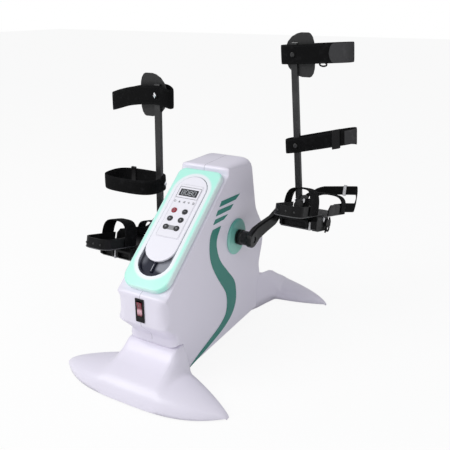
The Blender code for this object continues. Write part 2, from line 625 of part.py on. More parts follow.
front_collar = [(1.0, 0.0), (1.0, 0.070), (0.999, 0.086), (0.985, COLLAR_FRONT_Z), (0.90, COLLAR_FRONT_Z),
                (0.79, COLLAR_FRONT_Z - 0.001), (0.70, 0.083), (0.62, 0.074), (0.53, 0.0665), (0.44, 0.060),
                (0.35, 0.0545), (0.26, 0.049), (0.17, 0.043), (0.10, 0.036), (0.045, 0.027), (0.010, 0.015), (0.0, 0.0)]
front_cover = cover("front_foot_cover", front_front, front_rear, front_height, front_collar)
combine(front_cover, block(-SPINE_W - 0.0008, SPINE_W + 0.0008, COLLAR_FRONT_Y - SPINE_W, COLLAR_FRONT_Y + SPINE_W,
                           0.0, SPINE_Z1 + 0.0008), "DIFFERENCE")


def rear_rear(x, thin):
    return FOOT_REAR_Y - FOOT_REAR_SWEEP * (x / FOOT_HALF) ** 1.8 - thin


def rear_front(x, thin):
    wide = HOUSE_W + 0.0007
    if x <= wide - REAR_EASE:
        return COLLAR_REAR_Y + CLEAR + thin
    t = min((x - wide + REAR_EASE) / REAR_OPEN, 1.0)
    t = t * t * (3 - 2 * t)
    far = 0.212 + 0.040 * (x / FOOT_HALF) ** 2.2
    return COLLAR_REAR_Y + CLEAR + (far - COLLAR_REAR_Y) * t + thin


def rear_height(x):
    return REAR_TALL - REAR_FALL * (x / FOOT_HALF) ** 1.1


# the run is from the far edge to the edge at the housing
rear_collar = [(1.0, 0.0), (0.996, 0.013), (0.975, 0.023), (0.93, 0.032), (0.86, 0.041), (0.78, 0.049), (0.69, 0.057),
               (0.60, 0.065), (0.51, 0.073), (0.42, 0.081), (0.33, 0.089), (0.25, 0.095), (0.17, COLLAR_REAR_Z - 0.001),
               (0.09, COLLAR_REAR_Z), (0.02, COLLAR_REAR_Z), (0.0, 0.085), (0.0, 0.0)]
rear_cover = cover("rear_foot_cover", rear_rear, rear_front, rear_height, rear_collar)
combine(rear_cover, block(-SPINE_W - 0.0008, SPINE_W + 0.0008, COLLAR_REAR_Y - SPINE_W, COLLAR_REAR_Y + SPINE_W,
                          0.0, SPINE_Z1 + 0.0008), "DIFFERENCE")

# welded frame
cross = PAD_X + PAD_R
frame = piece("frame", "frame_steel", [block(-SPINE_W, SPINE_W, CROSS_FRONT_Y - 0.010, CROSS_REAR_Y + 0.010,
                                             SPINE_Z0, SPINE_Z1)])
for y in (CROSS_FRONT_Y, CROSS_REAR_Y):
    combine(frame, block(-cross, cross, y - 0.010, y + 0.010, PAD_H + CLEAR, 0.0215), "UNION")
combine(frame, block(-0.018, 0.018, -0.022, 0.022, SPINE_Z1 - 0.002, HUB_Z - 0.010), "UNION")
combine(frame, rod_x(-SHELL_X, SHELL_X, 0.0, HUB_Z, SHELL_R, 32), "UNION")
combine(frame, rod_x(-SHELL_X - 0.01, SHELL_X + 0.01, 0.0, HUB_Z, BEARING_R + CLEAR, 32), "DIFFERENCE")
cradle_z = MOTOR_Z - MOTOR_R - 0.004
combine(frame, block(-0.018, 0.018, MOTOR_Y - 0.030, MOTOR_Y + 0.030, SPINE_Z1 - 0.002, cradle_z), "UNION")
for name, y in (("front_", CROSS_FRONT_Y), ("rear_", CROSS_REAR_Y)):
    for side, sx in (("right", 1.0), ("left", -1.0)):
        rings = [[(sx * PAD_X + c, y + s, z) for c, s in circle(PAD_R - inset, 24)]
                 for z, inset in ((0.0, 0.0015), (0.0015, 0.0), (PAD_H, 0.0))]
        piece("foot_pad_" + name + side, "rubber", [loft(rings)])

# crank drive
hub = (0.0, 0.0, HUB_Z)
arm_tip = CRANK_IN_X + CRANK_T
piece("crank_spindle", "bright_steel", [rod_x(-arm_tip + 0.002, arm_tip - 0.002, 0.0, HUB_Z, SHAFT_R)], origin=hub)
for side, sign in (("right", 1.0), ("left", -1.0)):
    x1 = SHELL_X - 0.001
    ring = [(x1 - BEARING_L, SHAFT_R + CLEAR), (x1, SHAFT_R + CLEAR), (x1, BEARING_R), (x1 - BEARING_L, BEARING_R)]
    piece("bearing_" + side, "bright_steel", [turned_x([(sign * x, r) for x, r in ring], 0.0, HUB_Z, 32, True)])

px0, px1 = PULLEY_X0, PULLEY_X0 + PULLEY_W
pulley = [(px0 - 0.003, SHAFT_R + CLEAR), (px1, SHAFT_R + CLEAR), (px1, PULLEY_R - 0.004), (px1, PULLEY_R + 0.002),
          (px1 - 0.001, PULLEY_R + 0.002), (px1 - 0.001, PULLEY_R), (px0 + 0.001, PULLEY_R),
          (px0 + 0.001, PULLEY_R + 0.002), (px0, PULLEY_R + 0.002), (px0, 0.016), (px0 - 0.003, 0.016)]
piece("drive_pulley", "black_plastic", [turned_x(pulley, 0.0, HUB_Z, 48, True)], origin=hub)
small = [(px0 - 0.003, 0.0043), (px1 + 0.001, 0.0043), (px1 + 0.001, MOTOR_PULLEY_R + 0.002),
         (px1, MOTOR_PULLEY_R + 0.002), (px1, MOTOR_PULLEY_R), (px0, MOTOR_PULLEY_R), (px0, MOTOR_PULLEY_R + 0.002),
         (px0 - 0.003, MOTOR_PULLEY_R + 0.002)]
piece("motor_pulley", "black_plastic", [turned_x(small, MOTOR_Y, MOTOR_Z, 28, True)], origin=(0.0, MOTOR_Y, MOTOR_Z))
motor = piece("motor", "motor_steel", [turned_x([(-0.046, 0.020), (-0.044, MOTOR_R), (0.026, MOTOR_R), (0.028, 0.018),
                                                 (0.033, 0.016), (0.033, 0.004), (px1 + 0.002, 0.004)],
                                                MOTOR_Y, MOTOR_Z, 32)])
combine(motor, block(-0.016, 0.016, MOTOR_Y - 0.026, MOTOR_Y + 0.026, cradle_z + CLEAR, MOTOR_Z - 0.020), "UNION")

gap = MOTOR_Y, MOTOR_Z - HUB_Z
span = math.hypot(*gap)
lean = math.atan2(gap[1], gap[0])
r1, r2 = PULLEY_R + CLEAR, MOTOR_PULLEY_R + CLEAR
spread = math.acos((r1 - r2) / span)
belt_path = []
for k in range(31):
    a = lean + spread + (2 * math.pi - 2 * spread) * k / 30
    belt_path.append((r1 * math.cos(a), HUB_Z + r1 * math.sin(a)))
for k in range(11):
    a = lean - spread + 2 * spread * k / 10
    belt_path.append((MOTOR_Y + r2 * math.cos(a), MOTOR_Z + r2 * math.sin(a)))
out = -normals_of(belt_path, closed=True)
mid_x = 0.5 * (px0 + px1)
piece("drive_belt", "rubber", [ribbon([(mid_x, y, z) for y, z in belt_path], [(0.0, a, b) for a, b in out],
                                      (1.0, 0.0, 0.0), PULLEY_W - 0.003, 0.0016, closed=True)])


def crank_arm(sign, turn):
    """Arm along +Y before the turn: wide boss at the crank axis, narrow eye at the pedal."""
    r0, r1_ = 0.0200, 0.0130
    length = CRANK_RADIUS
    rings = []
    stops = [(-r0 * math.cos(a), r0 * math.sin(a)) for a in np.linspace(0.12, math.pi / 2, 6)]
    for t in (0.22, 0.45, 0.70):
        stops.append((length * t, r0 + (r1_ - r0) * t))
    stops += [(length + r1_ * math.sin(a), r1_ * math.cos(a)) for a in np.linspace(0.0, math.pi / 2 - 0.14, 6)]
    for u, v in stops:
        t = min(max((u / length - 0.12) / 0.76, 0.0), 1.0)
        t = t * t * (3 - 2 * t)
        x0 = CRANK_IN_X + (CRANK_OUT_X - CRANK_IN_X) * t
        x1_ = x0 + CRANK_T
        bev = min(0.0030, 0.35 * v)
        rings.append([(x0, u, -v + bev), (x0 + bev, u, -v), (x1_ - bev, u, -v), (x1_, u, -v + bev),
                      (x1_, u, v - bev), (x1_ - bev, u, v), (x0 + bev, u, v), (x0, u, v - bev)])
    c, s = math.cos(turn), math.sin(turn)
    return loft([[(sign * x, y * c - z * s, HUB_Z + y * s + z * c) for x, y, z in ring] for ring in rings])


disc_out = HOUSE_W + CLEAR + DISC_T
eye_y, eye_z = CRANK_RADIUS * math.cos(CRANK_ANGLE), CRANK_RADIUS * math.sin(CRANK_ANGLE)
for side, sign in (("right", 1.0), ("left", -1.0)):
    turn = CRANK_ANGLE if sign > 0 else CRANK_ANGLE + math.pi
    arm = piece("crank_" + side, "black_steel", [crank_arm(sign, turn)], origin=hub)
    b0 = disc_out + 0.0012
    barrel = [(b0, BARREL_R - 0.001), (b0 + 0.001, BARREL_R + 0.0015), (b0 + 0.004, BARREL_R + 0.0015),
              (b0 + 0.005, BARREL_R - 0.001), (b0 + 0.007, BARREL_R - 0.001), (b0 + 0.008, BARREL_R + 0.002),
              (b0 + 0.012, BARREL_R + 0.002), (b0 + 0.014, BARREL_R), (CRANK_IN_X + 0.004, BARREL_R)]
    combine(arm, turned_x([(sign * x, r) for x, r in barrel], 0.0, HUB_Z, 32), "UNION")
    combine(arm, rod_x(-2 * CRANK_OUT_X, 2 * CRANK_OUT_X, 0.0, HUB_Z, SHAFT_R + CLEAR), "DIFFERENCE")
    ey, ez = sign * eye_y, HUB_Z + sign * eye_z
    combine(arm, rod_x(sign * (CRANK_OUT_X + 0.003), sign * (CRANK_OUT_X + 2 * CRANK_T), ey, ez, PEDAL_SHAFT_R + CLEAR, 20), "DIFFERENCE")


# foot units: laid out once for the right foot round the pedal axis and mirrored for the left
def sole_outline():
    """Plan of the sole from the inner toe corner round the heel to the outer toe corner."""
    r = 0.024
    heel = [(-HEEL_W + r - r * math.cos(a), -TRAY_HEEL + r - r * math.sin(a)) for a in np.linspace(0, math.pi / 2, 6)]
    side = [(-TRAY_W, TRAY_TOE - 0.012), (-TRAY_W, 0.022), (-TRAY_W + 0.005, 0.010), (-HEEL_W, -0.003)] + heel
    return [(-TRAY_W + 0.012, TRAY_TOE)] + side + [(-x, y) for x, y in side[::-1]] + [(TRAY_W - 0.012, TRAY_TOE)]


def cup_shell():
    """Low wall round the heel."""
    run = np.array([p for p in sole_outline() if p[1] < 0.0])
    inner_n = -normals_of(run)
    inner_n *= np.sign(np.sum((np.array([0.0, -0.04]) - run) * inner_n, axis=1))[:, None]
    rings = []
    z0 = SOLE_Z + 0.5 * SOLE_T
    for i, (p, n) in enumerate(zip(run, inner_n)):
        top = SOLE_Z + SOLE_T + CUP_H
        q = p + n * CUP_T
        rings.append([(p[0], p[1], z0), (p[0], p[1], top), (q[0], q[1], top), (q[0], q[1], z0)])
    return loft(rings)


def arch(half, foot_z, top_z, power, count=25):
    """Strap path in (x, z): up from one side, over the foot, down the other."""
    pts = []
    for k in range(count):
        a = math.pi * k / (count - 1)
        c, s = math.cos(a), max(math.sin(a), 0.0)
        pts.append((-half * math.copysign(abs(c) ** (2 / power), c), foot_z + (top_z - foot_z) * s ** (2 / power)))
    return pts


def loop(a, b, power, count=44):
    pts = []
    for k in range(count):
        t = 2 * math.pi * k / count
        c, s = math.cos(t), math.sin(t)
        pts.append((a * math.copysign(abs(c) ** (2 / power), c), b * math.copysign(abs(s) ** (2 / power), s)))
    return pts


def put(shell, sign, centre, pitch=0.0):
    """From the frame of the right foot to the place of either foot."""
    verts, faces = shell
    c, s = math.cos(pitch), math.sin(pitch)
    moved = []
    for x, y, z in verts:
        moved.append((sign * (FOOT_X + x), centre[1] + y * c + z * s, centre[2] - y * s + z * c))
    return moved, faces


rod_x0 = -EAR_X - CUP_T - 0.0004 - 0.5 * ROD_W   # middle of the rod at its pivot
tilt_c, tilt_s = math.cos(TRAY_PITCH), math.sin(TRAY_PITCH)
PIVOT_Y = ROD_Y * tilt_c + ROD_Z * tilt_s        # pivot forward of the pedal axis and over it
PIVOT_Z = -ROD_Y * tilt_s + ROD_Z * tilt_c


def rod_frame(x, y, z):
    """From across, fore and aft of the rod and height over the pedal axis to the leaned rod."""
    rise = max(z - PIVOT_Z, 0.0)
    return rod_x0 + x - math.tan(ROD_IN) * rise, PIVOT_Y + y - math.tan(ROD_BACK) * rise, z


def lean(shell):
    verts, faces = shell
    return [rod_frame(*v) for v in verts], faces


def swell(t):
    """Height of a band's rounded outline over its half depth, a share t along its half length."""
    return (1.0 - abs(t) ** BAND_POWER) ** (1 / BAND_POWER)


# stud profile: share of the way to the band's outer face, offset, radius
STUD = [(0.0, 0.0, 0.0032), (1.0, 0.0, 0.0032), (1.0, 0.0, 0.0058), (1.0, -0.0020, 0.0054), (1.0, -0.0030, 0.0040)]

for side, sign in (("right", 1.0), ("left", -1.0)):
    axle = (0.0, sign * eye_y, HUB_Z + sign * eye_z)
    body_at = (sign * FOOT_X, axle[1], axle[2])
    ax0 = CRANK_OUT_X + 0.0035
    end_x = FOOT_X + 0.050
    shaft = [(ax0, PEDAL_SHAFT_R), (CRANK_OUT_X + CRANK_T + 0.0006, PEDAL_SHAFT_R),
             (CRANK_OUT_X + CRANK_T + 0.0006, 0.0085), (CRANK_OUT_X + CRANK_T + 0.0034, 0.0085),
             (CRANK_OUT_X + CRANK_T + 0.0034, PEDAL_SHAFT_R), (end_x, PEDAL_SHAFT_R)]
    piece("pedal_spindle_" + side, "bright_steel",
          [turned_x([(sign * x, r) for x, r in shaft], axle[1], axle[2], 20)], origin=hub)

    deep = PEDAL_DEPTH
    side_view = [(-0.036, SOLE_Z - CLEAR), (-0.040, -0.004), (-0.036, -deep + 0.006), (-0.024, -deep),
                 (0.024, -deep), (0.036, -deep + 0.006), (0.040, -0.004), (0.036, SOLE_Z - CLEAR)]
    pedal = piece("pedal_body_" + side, "black_plastic",
                  [put(loft([[(x, y, z) for y, z in side_view] for x in (-0.047, 0.047)]), sign, axle, TRAY_PITCH)],
                  origin=body_at)
    slot = PEDAL_SLOT[side]
    combine(pedal, put(block(slot - 0.004, slot + 0.004, -0.060, -0.009, -0.040, 0.0), sign, axle, TRAY_PITCH),
            "DIFFERENCE")
    for x0, x1 in ((-0.041, slot - 0.010), (slot + 0.010, 0.041)):
        if x1 - x0 > 0.012:
            combine(pedal, put(block(x0, x1, -0.060, -0.026, -0.024, -0.009), sign, axle, TRAY_PITCH), "DIFFERENCE")
    for x0, x1 in ((-0.041, -0.004), (0.004, 0.041)):
        combine(pedal, put(block(x0, x1, 0.012, 0.060, -0.040, -0.0085), sign, axle, TRAY_PITCH), "DIFFERENCE")
    combine(pedal, rod_x(-2 * FOOT_X, 2 * FOOT_X, axle[1], axle[2], PEDAL_SHAFT_R + CLEAR, 20), "DIFFERENCE")

    sole = loft([[(x, y, z) for x, y in sole_outline()] for z in (SOLE_Z, SOLE_Z + SOLE_T)])
    tray = piece("foot_tray_" + side, "black_plastic", [put(sole, sign, axle, TRAY_PITCH)], origin=body_at)
    combine(tray, put(cup_shell(), sign, axle, TRAY_PITCH), "UNION")
    z0, z1 = SOLE_Z + 0.5 * SOLE_T, SOLE_Z + SOLE_T + WING_H
    for face in (-EAR_X - CUP_T, TRAY_W - CUP_T):
        wall = [(WING_Y0, z0), (WING_Y1, z0), (WING_Y1, z1 - 0.006), (WING_Y1 - 0.010, z1), (WING_Y0 + 0.012, z1),
                (WING_Y0, z1 - 0.010)]
        if face < 0:
            wall = [(WING_Y0, z0), (WING_Y1, z0), (WING_Y1, ROD_Z + 0.006), (WING_Y1 - 0.008, ROD_Z + 0.014),
                    (ROD_Y - 0.012, ROD_Z + 0.014), (ROD_Y - 0.026, z1), (WING_Y0 + 0.012, z1), (WING_Y0, z1 - 0.010)]
        rings = [[(x, y, z) for y, z in wall] for x in (face, face + CUP_T)]
        combine(tray, put(loft(rings), sign, axle, TRAY_PITCH), "UNION")

    path = arch(HEEL_W + CLEAR + 0.0004, SOLE_Z + 0.004, ANKLE_STRAP_H, 3.6)
    nrm = normals_of(path)
    shell = ribbon([(x, ANKLE_STRAP_Y, z) for x, z in path], [(a, 0.0, b) for a, b in nrm], (0.0, 1.0, 0.0),
                   ANKLE_STRAP_W, STRAP_T)
    piece("ankle_strap_" + side, "webbing", [put(shell, sign, axle, TRAY_PITCH)], origin=body_at)
    path = arch(TRAY_W + CLEAR, SOLE_Z + 0.001, INSTEP_STRAP_H, 4.6)
    nrm = normals_of(path)
    shell = ribbon([(x, INSTEP_STRAP_Y, z) for x, z in path], [(a, 0.0, b) for a, b in nrm], (0.0, 1.0, 0.0),
                   INSTEP_STRAP_W, STRAP_T)
    piece("instep_strap_" + side, "webbing", [put(shell, sign, axle, TRAY_PITCH)], origin=body_at)

    # toe band: round the front of the foot, its ends inside the wings
    near, half = EAR_X - CLEAR - STRAP_T, TRAY_W - CUP_T - CLEAR - STRAP_T
    run = [(-near, ROD_Y + 0.009), (-near, WING_Y1 + 0.003), (-near - 0.006, 0.142), (-half - 0.001, 0.162)]
    r = half + 0.013
    for a in np.linspace(math.pi, 0.0, 17):
        run.append((r * math.cos(a), TOE_BAND_Y - 0.062 + 0.062 * math.sin(a) ** 0.8))
    run += [(half + 0.002, 0.162), (half, 0.148), (half, WING_Y1 + 0.004), (half, WING_Y1 - 0.040)]
    nrm = normals_of(run)
    mid = SOLE_Z + SOLE_T + 0.001 + 0.5 * TOE_BAND_W
    outer_lift, inner_lift = TOE_LIFT[side]

    def lifted(x, y):
        t = min(max((y - INSTEP_STRAP_Y - 0.022) / (TOE_BAND_Y - INSTEP_STRAP_Y - 0.040), 0.0), 1.0)
        return t * (outer_lift + inner_lift * min(max(0.5 - 0.5 * x / half, 0.0), 1.0))

    shell = ribbon([(x, y, mid + lifted(x, y)) for x, y in run], [(a, b, 0.0) for a, b in nrm], (0.0, 0.0, 1.0),
                   TOE_BAND_W, STRAP_T)
    band = piece("toe_band_" + side, "webbing", [put(shell, sign, axle, TRAY_PITCH)], origin=body_at)
    slide_y, rise = TOE_BAND_Y + STRAP_T, mid + lifted(0.0, TOE_BAND_Y)
    combine(band, put(block(-0.006, 0.006, TOE_BAND_Y - 0.0020, slide_y + 0.0020, rise - 0.5 * TOE_BAND_W - 0.0030,
                            rise + 0.5 * TOE_BAND_W + 0.0030), sign, axle, TRAY_PITCH), "UNION")

    # shank rod with its calf plate and bands, all turning on the pivot bolt
    pivot = (sign * (FOOT_X + rod_x0), axle[1] + PIVOT_Y, axle[2] + PIVOT_Z)
    hw, ht = 0.5 * ROD_W, 0.5 * ROD_T
    levels = [(PIVOT_Z - ht * math.cos(a), ht * math.sin(a)) for a in np.linspace(0.3, math.pi / 2, 4)]
    levels += [(PIVOT_Z + 0.012, ht), (ROD_TOP - 0.003, ht), (ROD_TOP, ht - 0.003)]
    bar = [[(-hw, -w, z), (hw, -w, z), (hw, w, z), (-hw, w, z)] for z, w in levels]
    rod = piece("shank_rod_" + side, "black_steel", [put(lean(loft(bar)), sign, axle)], origin=pivot)
    combine(rod, put(rod_x(-0.02 + rod_x0, 0.02 + rod_x0, PIVOT_Y, PIVOT_Z, 0.0035, 16), sign, axle), "DIFFERENCE")
    combine(tray, put(rod_x(-0.02 + rod_x0, 0.02 + rod_x0, PIVOT_Y, PIVOT_Z, 0.0035, 16), sign, axle), "DIFFERENCE")

    bolt = [(rod_x0 - hw - 0.0030, 0.0040), (rod_x0 - hw - 0.0026, 0.0048), (rod_x0 - hw - 0.0004, 0.0050),
            (rod_x0 - hw - 0.0004, 0.0032), (-EAR_X + 0.0004, 0.0032),
            (-EAR_X + 0.0004, 0.0060), (-EAR_X + 0.0024, 0.0055)]
    piece("pivot_bolt_" + side, "bright_steel", [put(turned_x(bolt, PIVOT_Y, PIVOT_Z, 20), sign, axle)], origin=pivot)
    # calf plate: an oval bent round the leg and slotted over the rod, highest towards its outer edge
    near_rows, far_rows = [], []
    plate_x = CALF_PLATE_X + 0.5 * (CALF_PLATE_OUT - CALF_PLATE_IN)
    for v in np.linspace(-1.0, 1.0, 11):
        v = math.sin(0.5 * math.pi * v) * 0.985
        x_in = CALF_PLATE_X - CALF_PLATE_IN * (1.0 - abs(v) ** 2.2) ** (1 / 2.2)
        x_out = CALF_PLATE_X + CALF_PLATE_OUT * (1.0 - abs(v) ** 3.0) ** (1 / 3.0)
        near_row, far_row = [], []
        for t in np.linspace(0.0, 1.0, 5):
            x = x_in + (x_out - x_in) * t
            bend = CALF_PLATE_R - math.sqrt(CALF_PLATE_R ** 2 - (x - plate_x) ** 2)
            near_row.append((x, CALF_PLATE_Y - bend, PLATE_MID + 0.5 * CALF_PLATE_H * v))
            far_row.append((x, CALF_PLATE_Y - bend + CALF_PLATE_T, PLATE_MID + 0.5 * CALF_PLATE_H * v))
        near_rows.append(near_row)
        far_rows.append(far_row)
    rings = [a + b[::-1] for a, b in zip(near_rows, far_rows)]
    plate = piece("calf_plate_" + side, "black_plastic", [put(lean(loft(rings)), sign, axle)], origin=pivot)
    slot = block(-hw - CLEAR, hw + CLEAR, -0.03, 0.03, PLATE_MID - CALF_PLATE_H, ROD_TOP + CLEAR)
    combine(plate, put(lean(slot), sign, axle), "DIFFERENCE")

    # each band clears the faces of the rod that it passes; a stud holds it there
    for level in ("upper", "lower"):
        face, z, wide, a, b, mid_at, out_drop, in_drop, slant = BANDS[(level, side)]
        if face == "near":
            x_mid, y_mid = mid_at, -ht - CLEAR - 0.0008 + b * swell((mid_at + hw) / a)
            surface = y_mid - b * swell(mid_at / a) - BAND_T - 0.0006
        else:
            x_mid, y_mid = -hw - CLEAR - 0.0008 + a * swell((ht - mid_at) / b), mid_at
            surface = x_mid - a * swell(mid_at / b) - BAND_T - 0.0006
        stud = turned_x([(surface * t + u, r) for t, u, r in STUD], 0.0, 0.0, 20)
        drill = rod_x(-0.03, 0.0, 0.0, 0.0, 0.0037, 20)
        if face == "near":
            stud, drill = [([(q, p, r) for p, q, r in v], [tuple(reversed(f)) for f in fs]) for v, fs in (stud, drill)]
        combine(rod, put(lean(shift(stud, (0.0, 0.0, z))), sign, axle), "UNION")
        ring = loop(a, b, BAND_POWER)
        nrm = -normals_of(ring, closed=True)
        path = []
        for x, y in ring:
            x = x + x_mid
            drop = out_drop * (x / (a + x_mid)) ** 2 if x > 0 else in_drop * (x / (a - x_mid)) ** 2
            path.append((x, y + y_mid, z - drop + slant * x))
        shell = ribbon(path, [(p, q, 0.0) for p, q in nrm], (0.0, 0.0, 1.0), wide, BAND_T, closed=True)
        band = piece(level + "_calf_band_" + side, "webbing", [put(lean(shell), sign, axle)], origin=pivot)
        combine(band, put(lean(shift(drill, (0.0, 0.0, z))), sign, axle), "DIFFERENCE")
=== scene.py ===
"""Looks of a motorized leg exerciser: white shell, mint console, black cranks, foot trays and calf bands.
Metres, +Z up, +X to the right of the person who sits at -Y; each piece lies where its solid lies."""

import json
import math

import bmesh
import bpy
import numpy as np
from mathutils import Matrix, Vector

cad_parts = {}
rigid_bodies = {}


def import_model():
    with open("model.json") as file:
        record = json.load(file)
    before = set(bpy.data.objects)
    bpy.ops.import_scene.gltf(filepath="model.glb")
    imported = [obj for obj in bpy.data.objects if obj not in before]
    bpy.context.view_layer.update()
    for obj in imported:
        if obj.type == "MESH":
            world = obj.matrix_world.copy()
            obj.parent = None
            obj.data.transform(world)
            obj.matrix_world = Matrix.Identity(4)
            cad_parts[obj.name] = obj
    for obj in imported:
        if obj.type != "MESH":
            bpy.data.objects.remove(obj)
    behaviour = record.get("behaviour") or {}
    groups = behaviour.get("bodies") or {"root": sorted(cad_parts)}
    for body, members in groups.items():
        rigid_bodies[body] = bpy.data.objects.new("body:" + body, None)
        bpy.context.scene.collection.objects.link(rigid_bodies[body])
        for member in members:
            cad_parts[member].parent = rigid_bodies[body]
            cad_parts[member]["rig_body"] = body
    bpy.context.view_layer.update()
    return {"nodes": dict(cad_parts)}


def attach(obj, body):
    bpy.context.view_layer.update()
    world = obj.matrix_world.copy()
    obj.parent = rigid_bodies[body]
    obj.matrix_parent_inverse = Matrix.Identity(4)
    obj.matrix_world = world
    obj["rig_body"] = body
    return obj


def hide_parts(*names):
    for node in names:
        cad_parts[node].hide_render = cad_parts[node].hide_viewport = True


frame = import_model()
nodes = frame["nodes"]
SIDES = (("right", 1.0), ("left", -1.0))

# The view: a camera at the height of a standing person, in front and to the right of the console.
# The room is a pale floor under an even sky, with one broad lamp high at the front left.
HUB_Y, HUB_Z = 0.00186, 0.265
AZIMUTH, PITCH = math.radians(29.474), math.radians(20.294)
FOCAL_PIXELS, PICTURE_PIXELS, SENSOR_MM = 600.53, 450.0, 36.0
camera = bpy.data.objects.new("camera", bpy.data.cameras.new("camera"))
bpy.context.scene.collection.objects.link(camera)
camera.data.sensor_width = SENSOR_MM
camera.data.lens = FOCAL_PIXELS / PICTURE_PIXELS * SENSOR_MM
camera.data.clip_start, camera.data.clip_end = 0.05, 60.0
camera.location = (0.70024, HUB_Y - 1.18006, 0.78922)
gaze = Vector((-math.sin(AZIMUTH) * math.cos(PITCH), math.cos(AZIMUTH) * math.cos(PITCH), -math.sin(PITCH)))
camera.rotation_euler = gaze.to_track_quat("-Z", "Y").to_euler()
bpy.context.scene.camera = camera
bpy.context.scene.view_settings.view_transform = "Standard"

world = bpy.data.worlds.new("sky")
bpy.context.scene.world = world
world.use_nodes = True
sky = world.node_tree
sky_light, sky_seen = sky.nodes["Background"], sky.nodes.new("ShaderNodeBackground")
for glow, tint, strength in ((sky_light, (0.97, 0.98, 1.0, 1.0), 0.50), (sky_seen, (1.0, 1.0, 1.0, 1.0), 1.0)):
    glow.inputs["Color"].default_value, glow.inputs["Strength"].default_value = tint, strength
sky_path, sky_mix = sky.nodes.new("ShaderNodeLightPath"), sky.nodes.new("ShaderNodeMixShader")
sky.links.new(sky_path.outputs["Is Camera Ray"], sky_mix.inputs[0])
sky.links.new(sky_light.outputs[0], sky_mix.inputs[1])
sky.links.new(sky_seen.outputs[0], sky_mix.inputs[2])
sky.links.new(sky_mix.outputs[0], sky.nodes["World Output"].inputs["Surface"])

for lamp_name, lamp_at, lamp_size, lamp_power in (("key_lamp", (-1.25, -1.7, 2.1), 1.6, 41.0),
                                                  ("fill_lamp", (1.9, -0.9, 1.5), 1.4, 7.0)):
    lamp = bpy.data.objects.new(lamp_name, bpy.data.lights.new(lamp_name, "AREA"))
    bpy.context.scene.collection.objects.link(lamp)
    lamp.data.size, lamp.data.energy = lamp_size, lamp_power
    lamp.location = lamp_at
    lamp.rotation_euler = (Vector((0.0, 0.0, 0.3)) - lamp.location).to_track_quat("-Z", "Y").to_euler()


class Level:
    """A socket of a paint; sums on it add Math nodes to that paint."""

    def __init__(self, paint, socket):
        self.paint, self.socket = paint, socket

    def math(self, operation, *values, **settings):
        return self.paint.add("ShaderNodeMath", dict(settings, operation=operation), dict(enumerate(values)))

    def __add__(self, other):
        return self.math("ADD", self, other)

    def __sub__(self, other):
        return self.math("SUBTRACT", self, other)

    def __rsub__(self, other):
        return self.math("SUBTRACT", other, self)

    def __mul__(self, other):
        return self.math("MULTIPLY", self, other)

    def wave(self):
        return self.math("SINE", self)

    def size(self):
        return self.math("ABSOLUTE", self)

    def most(self, other):
        return self.math("MAXIMUM", self, other)

    def root(self):
        return self.math("SQRT", self)

    def ramp(self, low, high, to_low=0.0, to_high=1.0):
        """Rises smoothly from to_low to to_high as the value goes from low to high."""
        return self.paint.add("ShaderNodeMapRange", {"interpolation_type": "SMOOTHSTEP"},
                              {0: self, 1: low, 2: high, 3: to_low, 4: to_high})


class Paint:
    """One material as it is wired: add() makes any node, and its first output comes back as a Level."""

    def __init__(self, name, **fixed):
        self.material = bpy.data.materials.new(name)
        self.material.use_nodes = True
        self.tree = self.material.node_tree
        self.shader = self.tree.nodes["Principled BSDF"]
        for socket, value in fixed.items():
            self.shader.inputs[socket.replace("_", " ")].default_value = value

    def add(self, kind, settings=None, sockets=None, out=0):
        node = self.tree.nodes.new(kind)
        for key, value in (settings or {}).items():
            setattr(node, key, value)
        for key, value in (sockets or {}).items():
            self.feed(node.inputs[key], value)
        return Level(self, node.outputs[out])

    def feed(self, socket, value):
        if isinstance(value, Level):
            self.tree.links.new(value.socket, socket)
        elif isinstance(value, tuple) and len(value) == 3 and socket.type == "RGBA":
            socket.default_value = (*value, 1.0)
        else:
            socket.default_value = value

    def spot(self):
        """Place on the object, in metres."""
        return self.add("ShaderNodeTexCoord", out=3)

    def axes(self, place):
        split = self.add("ShaderNodeSeparateXYZ", sockets={0: place}).socket.node
        return [Level(self, part) for part in split.outputs]

    def noise(self, scale, detail=3.0, place=None):
        return self.add("ShaderNodeTexNoise",
                        sockets={"Vector": place or self.spot(), "Scale": scale, "Detail": detail})

    def mix(self, share, first, second):
        """Colour between two, by a share."""
        return self.add("ShaderNodeMix", {"data_type": "RGBA"}, {0: share, 6: first, 7: second}, out=2)

    def bump(self, height, depth):
        """Normal bent by a height that stands for a depth in metres."""
        return self.add("ShaderNodeBump", sockets={"Height": height, "Distance": depth})

    def skin(self, colour, rough, normal=None):
        """Wires what varies over the surface into the shader."""
        for socket, value in (("Base Color", colour), ("Roughness", rough), ("Normal", normal)):
            if value is not None:
                self.feed(self.shader.inputs[socket], value)
        return self


# Sums that the sections below share: tones of a colour, angles, powers, smooth steps and places.
def shade(colour, gain):
    """Colour made lighter or darker by a factor."""
    return tuple(min(c * gain, 1.0) for c in colour)


def around(count):
    """Angles evenly spaced round a circle."""
    return np.linspace(0.0, 2 * math.pi, count, endpoint=False)


def signed(value, power):
    """Power of a value's size, with the value's sign."""
    return np.sign(value) * np.abs(value) ** power


def eased(value, start, length):
    """Smooth step over a length: three times the square of the share of it, less twice the cube."""
    t = np.clip((value - start) / length, 0.0, 1.0)
    return t * t * (3 - 2 * t)


def spread(x, y, z):
    """Places from three coordinates, any of which may be a single number."""
    return np.stack(np.broadcast_arrays(x, y, z), -1).astype(float)


